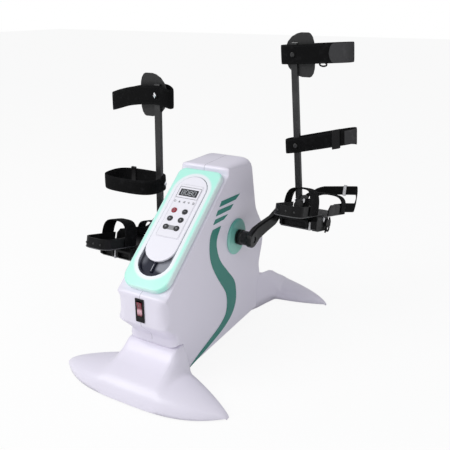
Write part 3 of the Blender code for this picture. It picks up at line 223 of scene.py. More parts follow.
# The floor: a pale plane that takes a soft shadow, and that the camera sees almost as bright as the sky.
FLOOR_HALF, FLOOR_Z, FLOOR_GLOW = 14.0, -0.0002, 0.90
floor_paint = Paint("floor")
floor_paint.skin(floor_paint.mix(floor_paint.noise(1.7), (0.90, 0.90, 0.90), (0.93, 0.93, 0.93)), 0.9)
floor_glow = floor_paint.add("ShaderNodeEmission", sockets={"Color": (1.0, 1.0, 1.0), "Strength": 1.0})
floor_ray = floor_paint.add("ShaderNodeLightPath")
floor_blend = floor_paint.add("ShaderNodeMixShader", sockets={
    0: floor_ray * FLOOR_GLOW, 1: Level(floor_paint, floor_paint.shader.outputs[0]), 2: floor_glow})
floor_paint.tree.links.new(floor_blend.socket, floor_paint.tree.nodes["Material Output"].inputs["Surface"])
floor_mesh = bpy.data.meshes.new("floor")
floor_mesh.from_pydata([(x * FLOOR_HALF, y * FLOOR_HALF, FLOOR_Z) for x, y in ((-1, -1), (1, -1), (1, 1), (-1, 1))],
                       [], [(0, 1, 2, 3)])
floor_mesh.materials.append(floor_paint.material)
floor = bpy.data.objects.new("floor", floor_mesh)
bpy.context.scene.collection.objects.link(floor)


# The two foot covers: injection-moulded white shells, boat shaped, that hide a welded cross tube.
# Each has a collar that clips round the foot of the housing; the skin is rebuilt finer than its solid.
FOOT_HALF, HOUSE_W, COLLAR_W, SHELL_T, RIM_Z = 0.212, 0.0628, 0.0635, 0.003, 0.004
COLLAR_FRONT_Y, COLLAR_REAR_Y = -0.2353, 0.1203


def moulded(name, colour, rough, grain=0.00003, mottle=0.03, grain_scale=900.0, **fixed):
    """Injection-moulded plastic: a faint cloudiness in the colour, a fine orange peel and uneven gloss."""
    paint = Paint(name, **fixed)
    tone = paint.mix(paint.noise(9.0, 2.0), shade(colour, 1.0 - mottle), shade(colour, 1.0 + mottle))
    return paint.skin(tone, paint.noise(35.0, 4.0).ramp(0.3, 0.7, rough - 0.04, rough + 0.05),
                      paint.bump(paint.noise(grain_scale, 2.0), grain))


WHITE = (0.80, 0.768, 0.875)
white_shell = Paint("white_shell", Coat_Weight=0.15, Coat_Roughness=0.2)
shell_side, _, shell_height = white_shell.axes(white_shell.spot())
shell_seam = shell_side.size().ramp(0.00025, 0.00060, 0.75, 0.0) * shell_height.ramp(0.100, 0.104)
shell_tone = white_shell.mix(white_shell.noise(5.0, 2.0), shade(WHITE, 0.975), shade(WHITE, 1.02))
white_shell.skin(white_shell.mix(shell_seam, shell_tone, (0.20, 0.19, 0.22)),
                 white_shell.noise(16.0, 2.0).ramp(0.2, 0.8, 0.34, 0.42),
                 white_shell.bump(white_shell.noise(240.0, 2.0), 0.00002))


def smooth_table(values, places):
    """Curve through evenly spaced values, read at places: between two values it follows the cubic that
    meets both with the slope of their neighbours."""
    v = np.asarray(values, float)
    v = np.vstack([2 * v[0] - v[1], v, 2 * v[-1] - v[-2]])
    i = np.clip(np.floor(places).astype(int), 0, len(values) - 2)
    t = (places - i)[:, None]
    a, b, c, d = v[i], v[i + 1], v[i + 2], v[i + 3]
    return 0.5 * (2 * b + (c - a) * t + (2 * a - 5 * b + 4 * c - d) * t ** 2 + (3 * b - a - 3 * c + d) * t ** 3)


def put_piece(name, verts, faces, paint, body, slot, stands_for=(), sharp=0.0, uv=None):
    """Mesh object at the origin that rides on a body and stands for solids, shaded flat or smooth up to an angle."""
    mesh = bpy.data.meshes.new(name)
    mesh.from_pydata(np.asarray(verts, float).tolist(), [], [list(map(int, f)) for f in faces])
    if uv is not None:
        layer = mesh.uv_layers.new(name="UVMap")
        layer.data.foreach_set("uv", np.asarray(uv, np.float32).ravel())
    if sharp > 0.0:
        mesh.shade_smooth()
        mesh.set_sharp_from_angle(angle=math.radians(sharp))
    mesh.materials.append(paint.material)
    made = bpy.data.objects.new(name, mesh)
    bpy.context.scene.collection.objects.link(made)
    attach(made, body)
    if stands_for:
        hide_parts(*stands_for)
    return made


def grid_faces(rows, columns, wrap_rows=False, wrap_columns=False):
    """Four-sided faces between neighbouring points of a grid."""
    i, j = np.meshgrid(np.arange(rows if wrap_rows else rows - 1),
                       np.arange(columns if wrap_columns else columns - 1), indexing="ij")
    k, m = (i + 1) % rows, (j + 1) % columns
    return np.stack([i * columns + j, i * columns + m, k * columns + m, k * columns + j], -1).reshape(-1, 4)


def tube_faces(rows, count, closed=False):
    """Faces of a tube whose sections are the rows of a grid; an open tube gets a cap on each end."""
    faces = grid_faces(rows, count, closed, True).tolist()
    if not closed:
        faces += [list(range(count))[::-1], list(range((rows - 1) * count, rows * count))]
    return faces


def foot_skin(front, rear, tall_mid, tall_drop, collar):
    """Skin of a foot: across the foot the height falls as its distance from the middle to the power 1.1
    and rounds off at the end; fore and aft it is an arch, which blends into the collar near the housing."""
    x = -np.cos(np.linspace(0.0, math.pi / 2, 49))[:-1]
    x = np.concatenate([x, [0.0], -x[::-1]]) * FOOT_HALF
    keep = np.abs(np.abs(x) - COLLAR_W - 0.004) > 0.0045
    x = np.sort(np.concatenate([x[keep], [-COLLAR_W - 0.008, -COLLAR_W, COLLAR_W, COLLAR_W + 0.008]]))
    far = np.abs(x)
    u = far / FOOT_HALF
    angle = np.linspace(0.0, math.pi, 49)
    shape = smooth_table(collar, np.linspace(0.0, 16.0, 49))
    y_rear, y_front = np.maximum(front(far), rear(far)), np.minimum(front(far), rear(far))
    tall = np.maximum((tall_mid - tall_drop * u ** 1.1) * np.sqrt(np.maximum(1.0 - u ** 6, 0.0)) - RIM_Z, 0.0)
    ease = eased(-far, -0.086, 0.026)[:, None]
    run = 0.5 * (1.0 + np.cos(angle))[None, :] * (1 - ease) + shape[None, :, 0] * ease
    y = y_front[:, None] + (y_rear - y_front)[:, None] * run + HUB_Y
    arch = np.maximum(np.sin(angle), 0.0) ** 0.62
    collar_z = np.maximum(shape[:, 1], RIM_Z)
    collar_z[[0, -1]] = RIM_Z
    z = (RIM_Z + tall[:, None] * arch[None, :]) * (1 - ease) + collar_z[None, :] * ease
    return np.stack([np.broadcast_to(x[:, None], y.shape), y, z], -1)


def front_front(x):
    """Front edge of the front foot: goes back with the power 3.2 of the way out."""
    return -0.371 + 0.062 * (x / FOOT_HALF) ** 3.2


def front_rear(x):
    """Rear edge of the front foot: the collar's line at the housing, then forward to the tip by power 1.25."""
    t = np.clip((x - COLLAR_W) / (FOOT_HALF - COLLAR_W), 0.0, 1.0)
    return np.where(x <= COLLAR_W + 1e-6, COLLAR_FRONT_Y, -0.230 - 0.070 * t ** 1.25)


def rear_rear(x):
    """Rear edge of the rear foot: comes forward with the power 1.8 of the way out."""
    return 0.308 - 0.050 * (x / FOOT_HALF) ** 1.8


def rear_front(x):
    """Front edge of the rear foot: a smooth step from the collar's line, then back by power 2.2."""
    t = eased(x, COLLAR_W - 0.02, 0.035)
    return COLLAR_REAR_Y + (0.212 + 0.040 * (x / FOOT_HALF) ** 2.2 - COLLAR_REAR_Y) * t


FRONT_COLLAR = [(1.0, 0.0), (1.0, 0.070), (0.999, 0.086), (0.985, 0.092), (0.90, 0.092), (0.79, 0.091), (0.70, 0.083),
                (0.62, 0.074), (0.53, 0.0665), (0.44, 0.060), (0.35, 0.0545), (0.26, 0.049), (0.17, 0.043),
                (0.10, 0.036), (0.045, 0.027), (0.010, 0.015), (0.0, 0.0)]
REAR_COLLAR = [(1.0, 0.0), (0.996, 0.013), (0.975, 0.023), (0.93, 0.032), (0.86, 0.041), (0.78, 0.049), (0.69, 0.057),
               (0.60, 0.065), (0.51, 0.073), (0.42, 0.081), (0.33, 0.089), (0.25, 0.095), (0.17, 0.099), (0.09, 0.100),
               (0.02, 0.100), (0.0, 0.085), (0.0, 0.0)]
for cover_name, cover_grid in (("front_foot_cover", foot_skin(front_front, front_rear, 0.060, 0.034, FRONT_COLLAR)),
                               ("rear_foot_cover", foot_skin(rear_front, rear_rear, 0.058, 0.032, REAR_COLLAR))):
    shell = put_piece(cover_name + "_skin", cover_grid.reshape(-1, 3), grid_faces(*cover_grid.shape[:2]),
                      white_shell, "base", "white_plastic", (cover_name,), sharp=50.0)
    wall = shell.modifiers.new("wall", "SOLIDIFY")
    wall.thickness, wall.offset = SHELL_T, -1.0
    if sum(p.normal.z * p.area for p in shell.data.polygons) < 0.0:
        shell.data.flip_normals()


# The housing: two white moulded halves, screwed together on the middle plane, with rounded edges. Each is
# its solid with merged faces; the rigid pieces further down are finished in the same way.
MERGE, FLAT_ANGLE = 2e-6, math.radians(0.6)


def ease_edges(made, width, angle, segments=2):
    """Rounds the edges that turn by more than an angle."""
    edge = made.modifiers.new("eased_edges", "BEVEL")
    edge.width, edge.segments, edge.limit_method = width, segments, "ANGLE"
    edge.angle_limit, edge.harden_normals = math.radians(angle), True


def finished(node, paint, slot, sharp=38.0, bevel=0.0, segments=2):
    """Copy of a solid's mesh with equal corners merged, smooth up to an angle, its edges rounded by a bevel."""
    source = nodes[node]
    spots = np.zeros(len(source.data.vertices) * 3, np.float32)
    source.data.vertices.foreach_get("co", spots)
    corners = np.zeros(len(source.data.loops), np.int32)
    source.data.loops.foreach_get("vertex_index", corners)
    _, first, back = np.unique(np.round(spots.reshape(-1, 3) / MERGE).astype(np.int64), axis=0,
                               return_index=True, return_inverse=True)
    faces = back.ravel()[corners].reshape(-1, 3)
    whole = (faces[:, 0] != faces[:, 1]) & (faces[:, 1] != faces[:, 2]) & (faces[:, 2] != faces[:, 0])
    made = put_piece(node + "_finish", spots.reshape(-1, 3)[first], faces[whole], paint, source["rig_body"], slot,
                     (node,), sharp=sharp)
    bm = bmesh.new()
    bm.from_mesh(made.data)
    bmesh.ops.dissolve_limit(bm, angle_limit=FLAT_ANGLE, verts=bm.verts, edges=bm.edges)
    bm.to_mesh(made.data)
    bm.free()
    made.data.shade_smooth()
    made.data.set_sharp_from_angle(angle=math.radians(sharp))
    if bevel > 0.0:
        ease_edges(made, bevel, sharp, segments)
    made.modifiers.new("even_normals", "WEIGHTED_NORMAL").keep_sharp = True


for side, _ in SIDES:
    finished("housing_" + side, white_shell, "white_plastic", sharp=32.0)


# Console: a mint bezel with a white inner rim round a long well, a white faceplate in it with a printed
# label, a display window, six keys, and a dark glossy tray with a ridge at the lower end.
SLOPE = math.radians(38.2)
PANEL_Y, PANEL_Z = HUB_Y - 0.0934, 0.3970
SLOPE_C, SLOPE_S = math.cos(SLOPE), math.sin(SLOPE)
MINT, MINT_PALE = (0.44, 0.90, 0.77), (0.82, 0.86, 0.90)


def on_panel(x, s, h):
    """Point of the console: across, up the slope from the display's top edge, and over its plane."""
    return spread(x, PANEL_Y + s * SLOPE_C - h * SLOPE_S, PANEL_Z + s * SLOPE_S + h * SLOPE_C)


mint_shell = Paint("mint_shell", Coat_Weight=0.2, Coat_Roughness=0.15)
mint_x, mint_y, mint_z = mint_shell.axes(mint_shell.spot())
mint_s = (mint_y - PANEL_Y) * SLOPE_C + (mint_z - PANEL_Z) * SLOPE_S
WELL_R, WELL_TOP, WELL_LOW = 0.040, -0.004, -0.187
mint_past = (mint_s - WELL_TOP).most(0.0) + (WELL_LOW - mint_s).most(0.0)
mint_reach = (mint_x * mint_x + mint_past * mint_past).root()
mint_rim = mint_reach.ramp(WELL_R + 0.0050, WELL_R + 0.0115, 1.0, 0.0)
mint_edge = mint_x.size().ramp(0.0515, 0.0585, 0.0, 0.80)
mint_end = (mint_s + 0.099).size().ramp(0.1520, 0.1590, 0.0, 0.6)
mint_pale = mint_rim.most(mint_edge.most(mint_end))
mint_blush = mint_shell.noise(14.0, 2.0).ramp(0.35, 0.70, 0.0, 0.22)
mint_tone = mint_shell.mix(mint_blush, MINT, (0.60, 0.93, 0.84))
mint_shell.skin(mint_shell.mix(mint_pale, mint_tone, MINT_PALE), mint_shell.noise(16.0, 2.0).ramp(0.2, 0.8, 0.33, 0.41),
                mint_shell.bump(mint_shell.noise(700.0, 2.0), 0.00003))
finished("console_bezel", mint_shell, "mint_plastic", sharp=35.0)

tray_gloss = Paint("tray_gloss", Specular_IOR_Level=0.16)
gloss_x, gloss_y, gloss_z = tray_gloss.axes(tray_gloss.spot())
gloss_s = (gloss_y - PANEL_Y) * SLOPE_C + (gloss_z - PANEL_Z) * SLOPE_S
# painted reflection: the tray is coloured lighter grey over its right part, and more faintly at its upper left
tray_painted_reflection = gloss_x.ramp(0.002, 0.012) * (gloss_s + gloss_x * 0.25).ramp(-0.209, -0.200) \
    + gloss_x.ramp(-0.018, -0.030) * gloss_s.ramp(-0.206, -0.190) * 0.4
tray_gloss.skin(tray_gloss.mix(tray_painted_reflection, (0.012, 0.014, 0.030), (0.27, 0.28, 0.32)),
                tray_gloss.noise(50.0, 3.0).ramp(0.3, 0.7, 0.28, 0.38))
finished("console_recess", tray_gloss, "recess_plastic", sharp=30.0, bevel=0.0006)
face_white = moulded("face_white", (0.84, 0.83, 0.90), 0.38, grain=0.00002, mottle=0.012)
finished("console_faceplate", face_white, "white_plastic", sharp=30.0)
label_print = moulded("label_print", (0.82, 0.81, 0.875), 0.42, grain=0.00001, mottle=0.010)
finished("control_label", label_print, "label_film", sharp=30.0)
lens_black = moulded("lens_black", (0.016, 0.018, 0.024), 0.10, grain=0.000004, Coat_Weight=0.6, Coat_Roughness=0.04)

LABEL_TOP, LENS_TOP = 0.0028, 0.0031
PRINT = (LABEL_TOP - 0.00005, LABEL_TOP + 0.00012, on_panel)
ink_grey, ink_mid, pale_ink_and_highlight, digit_grey, key_mark = (moulded(*ink, grain=0.000002) for ink in (
    ("ink_grey", (0.12, 0.12, 0.135), 0.5), ("ink_mid", (0.27, 0.27, 0.29), 0.5),
    ("pale_ink_and_highlight", (0.46, 0.46, 0.50), 0.5), ("digit_grey", (0.50, 0.52, 0.55), 0.35),
    ("key_mark", (0.22, 0.22, 0.25), 0.45)))


def slab(outline, low, high, place):
    """Flat piece of print: an outline raised between two heights; place turns outline and height to metres."""
    points = np.asarray(outline, float).T
    return np.concatenate([place(*points, low), place(*points, high)]), tube_faces(2, len(outline))


def band(outer, inner, low, high, place):
    """Closed line of print between two outlines of equal count."""
    rings = [place(*ring.T, h) for ring, h in ((outer, low), (outer, high), (inner, high), (inner, low))]
    return np.concatenate(rings), tube_faces(4, len(outer), True)


def frame_outline(half, top, low, radius):
    """Rectangle with round corners: each corner is a quarter circle about a centre set in by the radius."""
    t = np.linspace(0.0, math.pi / 2, 5)
    c, s = radius * np.cos(t), radius * np.sin(t)
    h, u, d = half - radius, top - radius, low + radius
    return np.concatenate([np.stack(p, -1) for p in ((h + c, u + s), (-h - s, u + c), (-h - c, d - s), (h + s, d - c))])


def frame_line(half, top, low, radius, thick):
    """Printed line round a rectangle with round corners."""
    return band(frame_outline(half, top, low, radius),
                frame_outline(half - thick, top - thick, low + thick, radius - thick), *PRINT)


def ring_outline(x, s, radius):
    """Circle of points about a place."""
    t = around(20)
    return np.stack([x + radius * np.cos(t), s + radius * np.sin(t)], -1)


def ring_line(x, s, radius, thick, *stand):
    """Circular line between two heights on the surface that the last of stand places."""
    return band(ring_outline(x, s, radius), ring_outline(x, s, radius - thick), *stand)


def box_outline(x0, s0, x1, s1):
    """Rectangle between two opposite corners."""
    return [(x0, s0), (x1, s0), (x1, s1), (x0, s1)]


def joined(parts):
    """Several small shells as one set of points and faces."""
    verts, faces, start = [], [], 0
    for v, f in parts:
        verts.append(v)
        faces += [[k + start for k in face] for face in f]
        start += len(v)
    return np.concatenate(verts), faces


def put_closed(name, verts, faces, paint, body, slot, ease=0.0, **others):
    """A closed shell with its faces turned outwards, and its sharp edges rounded by a width if one is given."""
    made = put_piece(name, verts, faces, paint, body, slot, **others)
    bm = bmesh.new()
    bm.from_mesh(made.data)
    bmesh.ops.recalc_face_normals(bm, faces=bm.faces)
    bm.to_mesh(made.data)
    bm.free()
    if ease > 0.0:
        ease_edges(made, ease, 40.0)


put_closed("display_lens", *slab(frame_outline(0.0232, -0.0032, -0.0218, 0.0014), 0.0018, LENS_TOP, on_panel),
           lens_black, "base", "window_plastic", stands_for=("display_window",))
put_closed("display_border", *frame_line(0.0285, 0.0028, -0.0278, 0.0028, 0.0010), ink_grey, "base", "label_film")
put_closed("label_border", *frame_line(0.0282, 0.0092, -0.1302, 0.0032, 0.0004), pale_ink_and_highlight, "base", "label_film")

SEGMENTS = {"a": ((0.2, 2.0), (1.8, 2.0)), "b": ((2.0, 1.8), (2.0, 1.1)), "c": ((2.0, 0.9), (2.0, 0.2)),
            "d": ((0.2, 0.0), (1.8, 0.0)), "e": ((0.0, 0.9), (0.0, 0.2)), "f": ((0.0, 1.8), (0.0, 1.1)),
            "g": ((0.2, 1.0), (1.8, 1.0))}
DIGITS = ("abcdefg", "abcdef", "abcdefg", "abcdef")


def bar_outline(a, b, thick):
    """Straight stroke from a to b with pointed ends."""
    a, b = np.asarray(a, float), np.asarray(b, float)
    along = (b - a) / np.linalg.norm(b - a)
    side_way = np.array([-along[1], along[0]]) * 0.5 * thick
    tip = along * 0.5 * thick
    return [a - tip, a + side_way, b + side_way, b + tip, b - side_way, a - side_way]


strokes = []
DIGIT_W, DIGIT_H, DIGIT_LOW, STROKE_W = 0.0066, 0.0112, -0.0181, 0.0011
for place_x, lit in zip((-0.0146, -0.0048, 0.0050, 0.0148), DIGITS):
    for name in lit:
        (ax, ay), (bx, by) = SEGMENTS[name]
        a = (place_x + 0.5 * DIGIT_W * (ax - 1), DIGIT_LOW + 0.5 * DIGIT_H * ay)
        b = (place_x + 0.5 * DIGIT_W * (bx - 1), DIGIT_LOW + 0.5 * DIGIT_H * by)
        strokes.append(slab(bar_outline(a, b, STROKE_W), LENS_TOP - 0.00005, LENS_TOP + 0.00015, on_panel))
put_closed("display_digits", *joined(strokes), digit_grey, "base", "window_plastic")

ICON_S, ICON = -0.0375, 0.0029
icons = [ring_line(-0.0240, ICON_S, ICON, 0.0010, *PRINT),
         slab([(-0.0149, ICON_S - ICON), (-0.0091, ICON_S - ICON), (-0.0120, ICON_S + ICON)], *PRINT)]
for x0, s0, x1, s1 in ((-0.0024, -0.0029, -0.0012, 0.0006), (-0.0006, -0.0029, 0.0006, 0.0018),
                       (0.0012, -0.0029, 0.0024, 0.0029), (0.0092, -0.0006, 0.0148, 0.0006),
                       (0.0114, -0.0029, 0.0126, 0.0029), (0.0212, 0.0017, 0.0268, 0.0029),
                       (0.0212, -0.0006, 0.0268, 0.0006), (0.0212, -0.0029, 0.0268, -0.0017)):
    icons.append(slab(box_outline(x0, ICON_S + s0, x1, ICON_S + s1), *PRINT))
put_closed("display_icons", *joined(icons), ink_grey, "base", "label_film")

KEY_X, KEY_ROWS, KEY_R, KEY_TOP = 0.014, (-0.062, -0.084, -0.106), 0.0068, 0.0045
bar_turn = np.linspace(-0.95, 0.95, 9)
bar_in, bar_up = KEY_X - (KEY_R + 0.0002) * np.cos(bar_turn), KEY_ROWS[2] + (KEY_R + 0.0002) * np.sin(bar_turn)
bar_side = np.stack([bar_in, bar_up], -1)
bridge = np.concatenate([bar_side[::-1] * (-1.0, 1.0), bar_side])
put_closed("speed_bar", *slab(bridge, *PRINT), ink_mid, "base", "label_film")

# painted highlight: a pale strip along the top of the tray's ridge
RIDGE_TOP = -0.0038
ridge = slab(box_outline(-0.0006, -0.2120, 0.0006, -0.1960), RIDGE_TOP - 0.0004, RIDGE_TOP + 0.00015, on_panel)
put_closed("tray_ridge_glint", *ridge, pale_ink_and_highlight, "base", "recess_plastic")

red_key = moulded("red_key", (0.30, 0.012, 0.030), 0.25, grain=0.00001, Coat_Weight=0.3, Coat_Roughness=0.1)
dark_key = moulded("dark_key", (0.009, 0.009, 0.012), 0.30, grain=0.00002)
KEYS = (("power", -1, 0), ("mode", 1, 0), ("time_up", -1, 1), ("speed_up", 1, 1), ("time_down", -1, 2),
        ("speed_down", 1, 2))
for key, sign, row in KEYS:
    red = key == "power"
    finished("button_" + key, red_key if red else dark_key, "red_plastic" if red else "button_plastic", sharp=50.0)
    kx, ks, stand = sign * KEY_X, KEY_ROWS[row], (KEY_TOP - 0.0001, KEY_TOP + 0.00015, on_panel)
    if red:
        mark = ring_line(kx, ks, 0.0030, 0.0008, *stand)
    elif key == "mode":
        mark = slab(box_outline(kx - 0.003, ks - 0.0005, kx + 0.003, ks + 0.0005), *stand)
    else:
        way = 1.0 if key.endswith("up") else -1.0
        low, tip = ks - 0.0018 * way, ks + 0.0028 * way
        mark = slab([(kx - 0.0028, low), (kx + 0.0028, low), (kx, tip)], *stand)
    put_closed("mark_" + key, *mark, key_mark, "button_" + key, "button_plastic")

# The rocker on the flat nose: a black frame that snaps into the shell and a red key with two marks; a pink band across
# the key's lower half is a painted highlight.
frame_black = moulded("frame_black", (0.0075, 0.007, 0.0075), 0.42, Specular_IOR_Level=0.2)
finished("rocker_frame", frame_black, "black_plastic", bevel=0.0006)
rocker_red = Paint("rocker_red", Coat_Weight=0.6, Coat_Roughness=0.06)
ROCKER_Y, ROCKER_Z, HIGHLIGHT_Z = HUB_Y - 0.3026, 0.193, 0.1865
rocker_high = rocker_red.axes(rocker_red.spot())[2]
# painted highlight: the key turns pale pink in a band about one height on its lower half
rocker_painted_highlight = (rocker_high - HIGHLIGHT_Z).size().ramp(0.0015, 0.009, 0.85, 0.0)
rocker_red.skin(rocker_red.mix(rocker_painted_highlight, (0.17, 0.006, 0.022), (0.86, 0.50, 0.58)),
                rocker_red.noise(90.0, 3.0).ramp(0.3, 0.7, 0.14, 0.24))
finished("power_rocker", rocker_red, "red_plastic", bevel=0.0008, segments=3)


def on_rocker(tilt):
    """Place on one half of the rocker's face, which leans by tilt: across, up it, and proud of it."""
    def place(x, s, h):
        return spread(x, ROCKER_Y - np.abs(s) * tilt - h, ROCKER_Z + s)
    return place


upper, lower = on_rocker(0.147), on_rocker(0.0367)
put_closed("rocker_mark", *joined([
    slab(box_outline(-0.0004, 0.0050, 0.0004, 0.0115), -0.0003, 0.00012, upper),
    ring_line(0.0, -0.0085, 0.0028, 0.0007, -0.0003, 0.00012, lower)]),
    key_mark, "rocker", "red_plastic")

# Side trim: a dark teal wave and three bars of thin film on each flank, and a turned green disc round the hub.
teal_film = moulded("teal_film", (0.026, 0.220, 0.180), 0.36, grain=0.00002, mottle=0.05)
disc_green = Paint("disc_green", Coat_Weight=0.1, Coat_Roughness=0.25)
_, disc_y, disc_z = disc_green.axes(disc_green.spot())
# painted shade: the disc is coloured darker towards its top and back, lighter low at the front
disc_painted_shade = (disc_z - HUB_Z + (disc_y - HUB_Y) * 0.5).ramp(-0.045, 0.045)
disc_green.skin(disc_green.mix(disc_painted_shade, (0.27, 0.62, 0.53), (0.11, 0.38, 0.34)),
                disc_green.noise(40.0, 4.0).ramp(0.3, 0.7, 0.30, 0.40),
                disc_green.bump(disc_green.noise(800.0, 2.0), 0.00003))
# corners of the bars in millimetres: back from the hub's axis, and up
BARS = (((-78, 361), (-68, 372), (19, 367), (-2, 358)), ((-94, 344), (-84, 355), (-13, 350), (-28, 341)),
        ((-105, 327), (-96, 337), (-40, 333), (-58, 326)))
for side, sign in SIDES:
    finished("side_stripe_" + side, teal_film, "stripe_film", sharp=30.0)
    finished("hub_disc_" + side, disc_green, "disc_plastic", sharp=40.0)

    def on_flank(y, z, h):
        """Place on the side face: along it, up it, and proud of it."""
        return spread(sign * (HOUSE_W + h), y, z)

    put_closed("flank_bars_" + side, *joined([
        slab([(HUB_Y + y / 1000, z / 1000) for y, z in corners], -0.0001, 0.0009, on_flank)
        for corners in BARS]), teal_film, "base", "stripe_film")

# Feet, frame and drive: rubber pads, black enamelled steel, a steel motor can, plated bearings and spindle,
# a rubber belt and a green lacquered board. Most of it is out of sight inside the shell.
rubber = moulded("rubber", (0.018, 0.018, 0.019), 0.78, grain=0.00012, mottle=0.15, grain_scale=500.0)


def enamelled(name, colour, rough, **fixed):
    """Enamel on steel: a soft ripple, tiny pits of dust, and gloss that varies where hands and shoes rub."""
    paint = Paint(name, **fixed)
    rub = paint.noise(22.0, 5.0).ramp(0.55, 0.75)
    tone = paint.mix(rub, colour, tuple(c * 1.5 + 0.004 for c in colour))
    pits = paint.noise(1400.0, 2.0) * 0.4 + paint.noise(120.0, 2.0)
    return paint.skin(tone, rub * 0.10 + rough, paint.bump(pits, 0.00005))


def plated(name, colour, rough, streak=(1.0, 60.0, 60.0)):
    """Bright plate over turned steel: fine streaks round the axis change the gloss and the height a little."""
    paint = Paint(name, Metallic=1.0)
    stretched = paint.add("ShaderNodeMapping", sockets={"Vector": paint.spot(), "Scale": streak})
    streaks = paint.noise(40.0, 4.0, stretched)
    return paint.skin(paint.mix(streaks, shade(colour, 0.86), colour), streaks.ramp(0.3, 0.7, rough, rough + 0.12),
                      paint.bump(streaks, 0.00002))


frame_enamel = enamelled("frame_enamel", (0.03, 0.03, 0.033), 0.42)
black_enamel = enamelled("black_enamel", (0.0055, 0.0055, 0.006), 0.32, Specular_IOR_Level=0.4)
chrome = plated("chrome", (0.78, 0.78, 0.80), 0.12)
dark_steel = plated("dark_steel", (0.13, 0.13, 0.135), 0.34)
can_steel = plated("can_steel", (0.42, 0.43, 0.45), 0.30, (60.0, 1.0, 1.0))
board_green = moulded("board_green", (0.015, 0.14, 0.06), 0.35, grain=0.00005, mottle=0.2)
inner_black = moulded("inner_black", (0.020, 0.020, 0.022), 0.5, grain=0.00006)
for node, paint in (("frame", frame_enamel), ("motor", can_steel), ("control_board", board_green),
                    ("bearing_right", chrome), ("bearing_left", chrome), ("crank_spindle", dark_steel),
                    ("drive_pulley", inner_black), ("motor_pulley", inner_black), ("drive_belt", rubber)):
    nodes[node].data.materials.clear()
    nodes[node].data.materials.append(paint.material)
for node in ("front_left", "front_right", "rear_left", "rear_right"):
    finished("foot_pad_" + node, rubber, "rubber", sharp=45.0)
finished("power_inlet", frame_black, "black_plastic", bevel=0.0005)


def turned(profile, count):
    """Turned shape: points at (along, radius) carried round an axis, with a flat cap on each end."""
    along, radius = np.asarray(profile, float).T[..., None]
    t = around(count)
    return spread(along, radius * np.cos(t), radius * np.sin(t)).reshape(-1, 3), tube_faces(len(along), count)


PIN_Y, PIN_Z = HUB_Y + 0.1305, 0.122
pin_v, pin_f = turned([(0.0, 0.0004), (0.0006, 0.0011), (0.0090, 0.0011), (0.0094, 0.0004)], 16)
put_closed("inlet_pin", pin_v[:, (1, 0, 2)] + (0.0, PIN_Y, PIN_Z), pin_f, chrome, "base", "bright_steel",
           sharp=40.0)

# Cranks: black enamelled forged arms with a stepped barrel at the hub, on plated spindles, and resin pedals.
pedal_resin = moulded("pedal_resin", (0.0035, 0.0035, 0.0038), 0.44, grain=0.00010, mottle=0.10, grain_scale=650.0,
                      Specular_IOR_Level=0.22)
for side, _ in SIDES:
    finished("crank_" + side, black_enamel, "black_steel", sharp=30.0, bevel=0.0008)
    finished("pedal_spindle_" + side, chrome, "bright_steel", sharp=35.0)
    finished("pedal_body_" + side, pedal_resin, "black_plastic", sharp=30.0, bevel=0.0012)
    finished("foot_tray_" + side, pedal_resin, "black_plastic", sharp=30.0, bevel=0.0008)
    finished("pivot_bolt_" + side, chrome, "bright_steel", sharp=35.0)

# Trim of the feet: a pale line round the edge of each sole that is a painted rim highlight, a bright spring
# clip in the slot at the back of each pedal, rivets along the heel, and on the right a loose ladder buckle under the
# outer edge.
FOOT_X, PEDAL_RUN, PEDAL_RISE, TRAY_PITCH = 0.1975, 0.0964559, 0.0439575, math.radians(14.0)
SOLE_Z, SOLE_T, HEEL_W, TRAY_W, TRAY_HEEL, TRAY_TOE = 0.0056, 0.0034, 0.034, 0.0505, 0.121, 0.150
grey_trim_and_rim_highlight = moulded("grey_trim_and_rim_highlight", (0.075, 0.075, 0.078), 0.42)
clip_bright = moulded("clip_bright", (0.62, 0.62, 0.63), 0.30)
rivet_dark = moulded("rivet_dark", (0.006, 0.006, 0.006), 0.36)


def on_foot(sign):
    """Place by a foot tray's own axes: outwards, towards the toes, and up, from the middle of the pedal."""
    c, s = math.cos(TRAY_PITCH), math.sin(TRAY_PITCH)

    def place(x, y, z):
        return spread(sign * (FOOT_X + x), HUB_Y + sign * PEDAL_RUN + y * c + z * s,
                      HUB_Z + sign * PEDAL_RISE - y * s + z * c)
    return place


def run_of(path, closed=False):
    """Length run along a path up to each point, and its unit tangents."""
    ahead = np.roll(path, -1, 0) - path
    step = np.linalg.norm(ahead, axis=1)
    if closed:
        tangent = ahead / step[:, None] + np.roll(ahead / step[:, None], 1, 0)
        run = np.concatenate([[0.0], np.cumsum(step)])
    else:
        tangent = np.gradient(path, axis=0)
        run = np.concatenate([[0.0], np.cumsum(step[:-1])])
    return run, tangent / np.linalg.norm(tangent, axis=1)[:, None]


def tape(path, out, across, width, thick, place, closed=False):
    """Band with rounded edges along a path on its inner face: every section is a superellipse as wide as
    the band and as high as its thickness. UV holds the length run and the distance from the middle."""
    across, width = np.broadcast_to(across, path.shape), np.broadcast_to(width, (len(path),))
    t = around(24)
    v, h = 0.5 * signed(np.cos(t), 0.4), 0.5 + 0.5 * signed(np.sin(t), 0.4)
    grid = (path[:, None] + out[:, None] * (h * thick)[None, :, None]
            + across[:, None] * (v[None, :] * width[:, None])[..., None])
    rows, m = grid.shape[:2]
    u, w = run_of(path, closed)[0], v * width.max()
    i, j = np.divmod(grid_faces(rows, m, closed, True)[:, 0], m)
    k = (j + 1) % m
    uv = np.stack([u[i], w[j], u[i], w[k], u[i + 1], w[k], u[i + 1], w[j]], -1).reshape(-1, 2)
    if not closed:
        uv = np.concatenate([uv, np.stack([0 * w + u[0], w[::-1]], -1), np.stack([0 * w + u[-1], w], -1)])
    return place(*grid.reshape(-1, 3).T), tube_faces(rows, m, closed), uv


def put_web(name, strap, paint, body, stands_for=()):
    """A strap of webbing that tape() has shaped."""
    verts, faces, uv = strap
    put_closed(name, verts, faces, paint, body, "webbing", stands_for=stands_for, uv=uv, sharp=60.0)


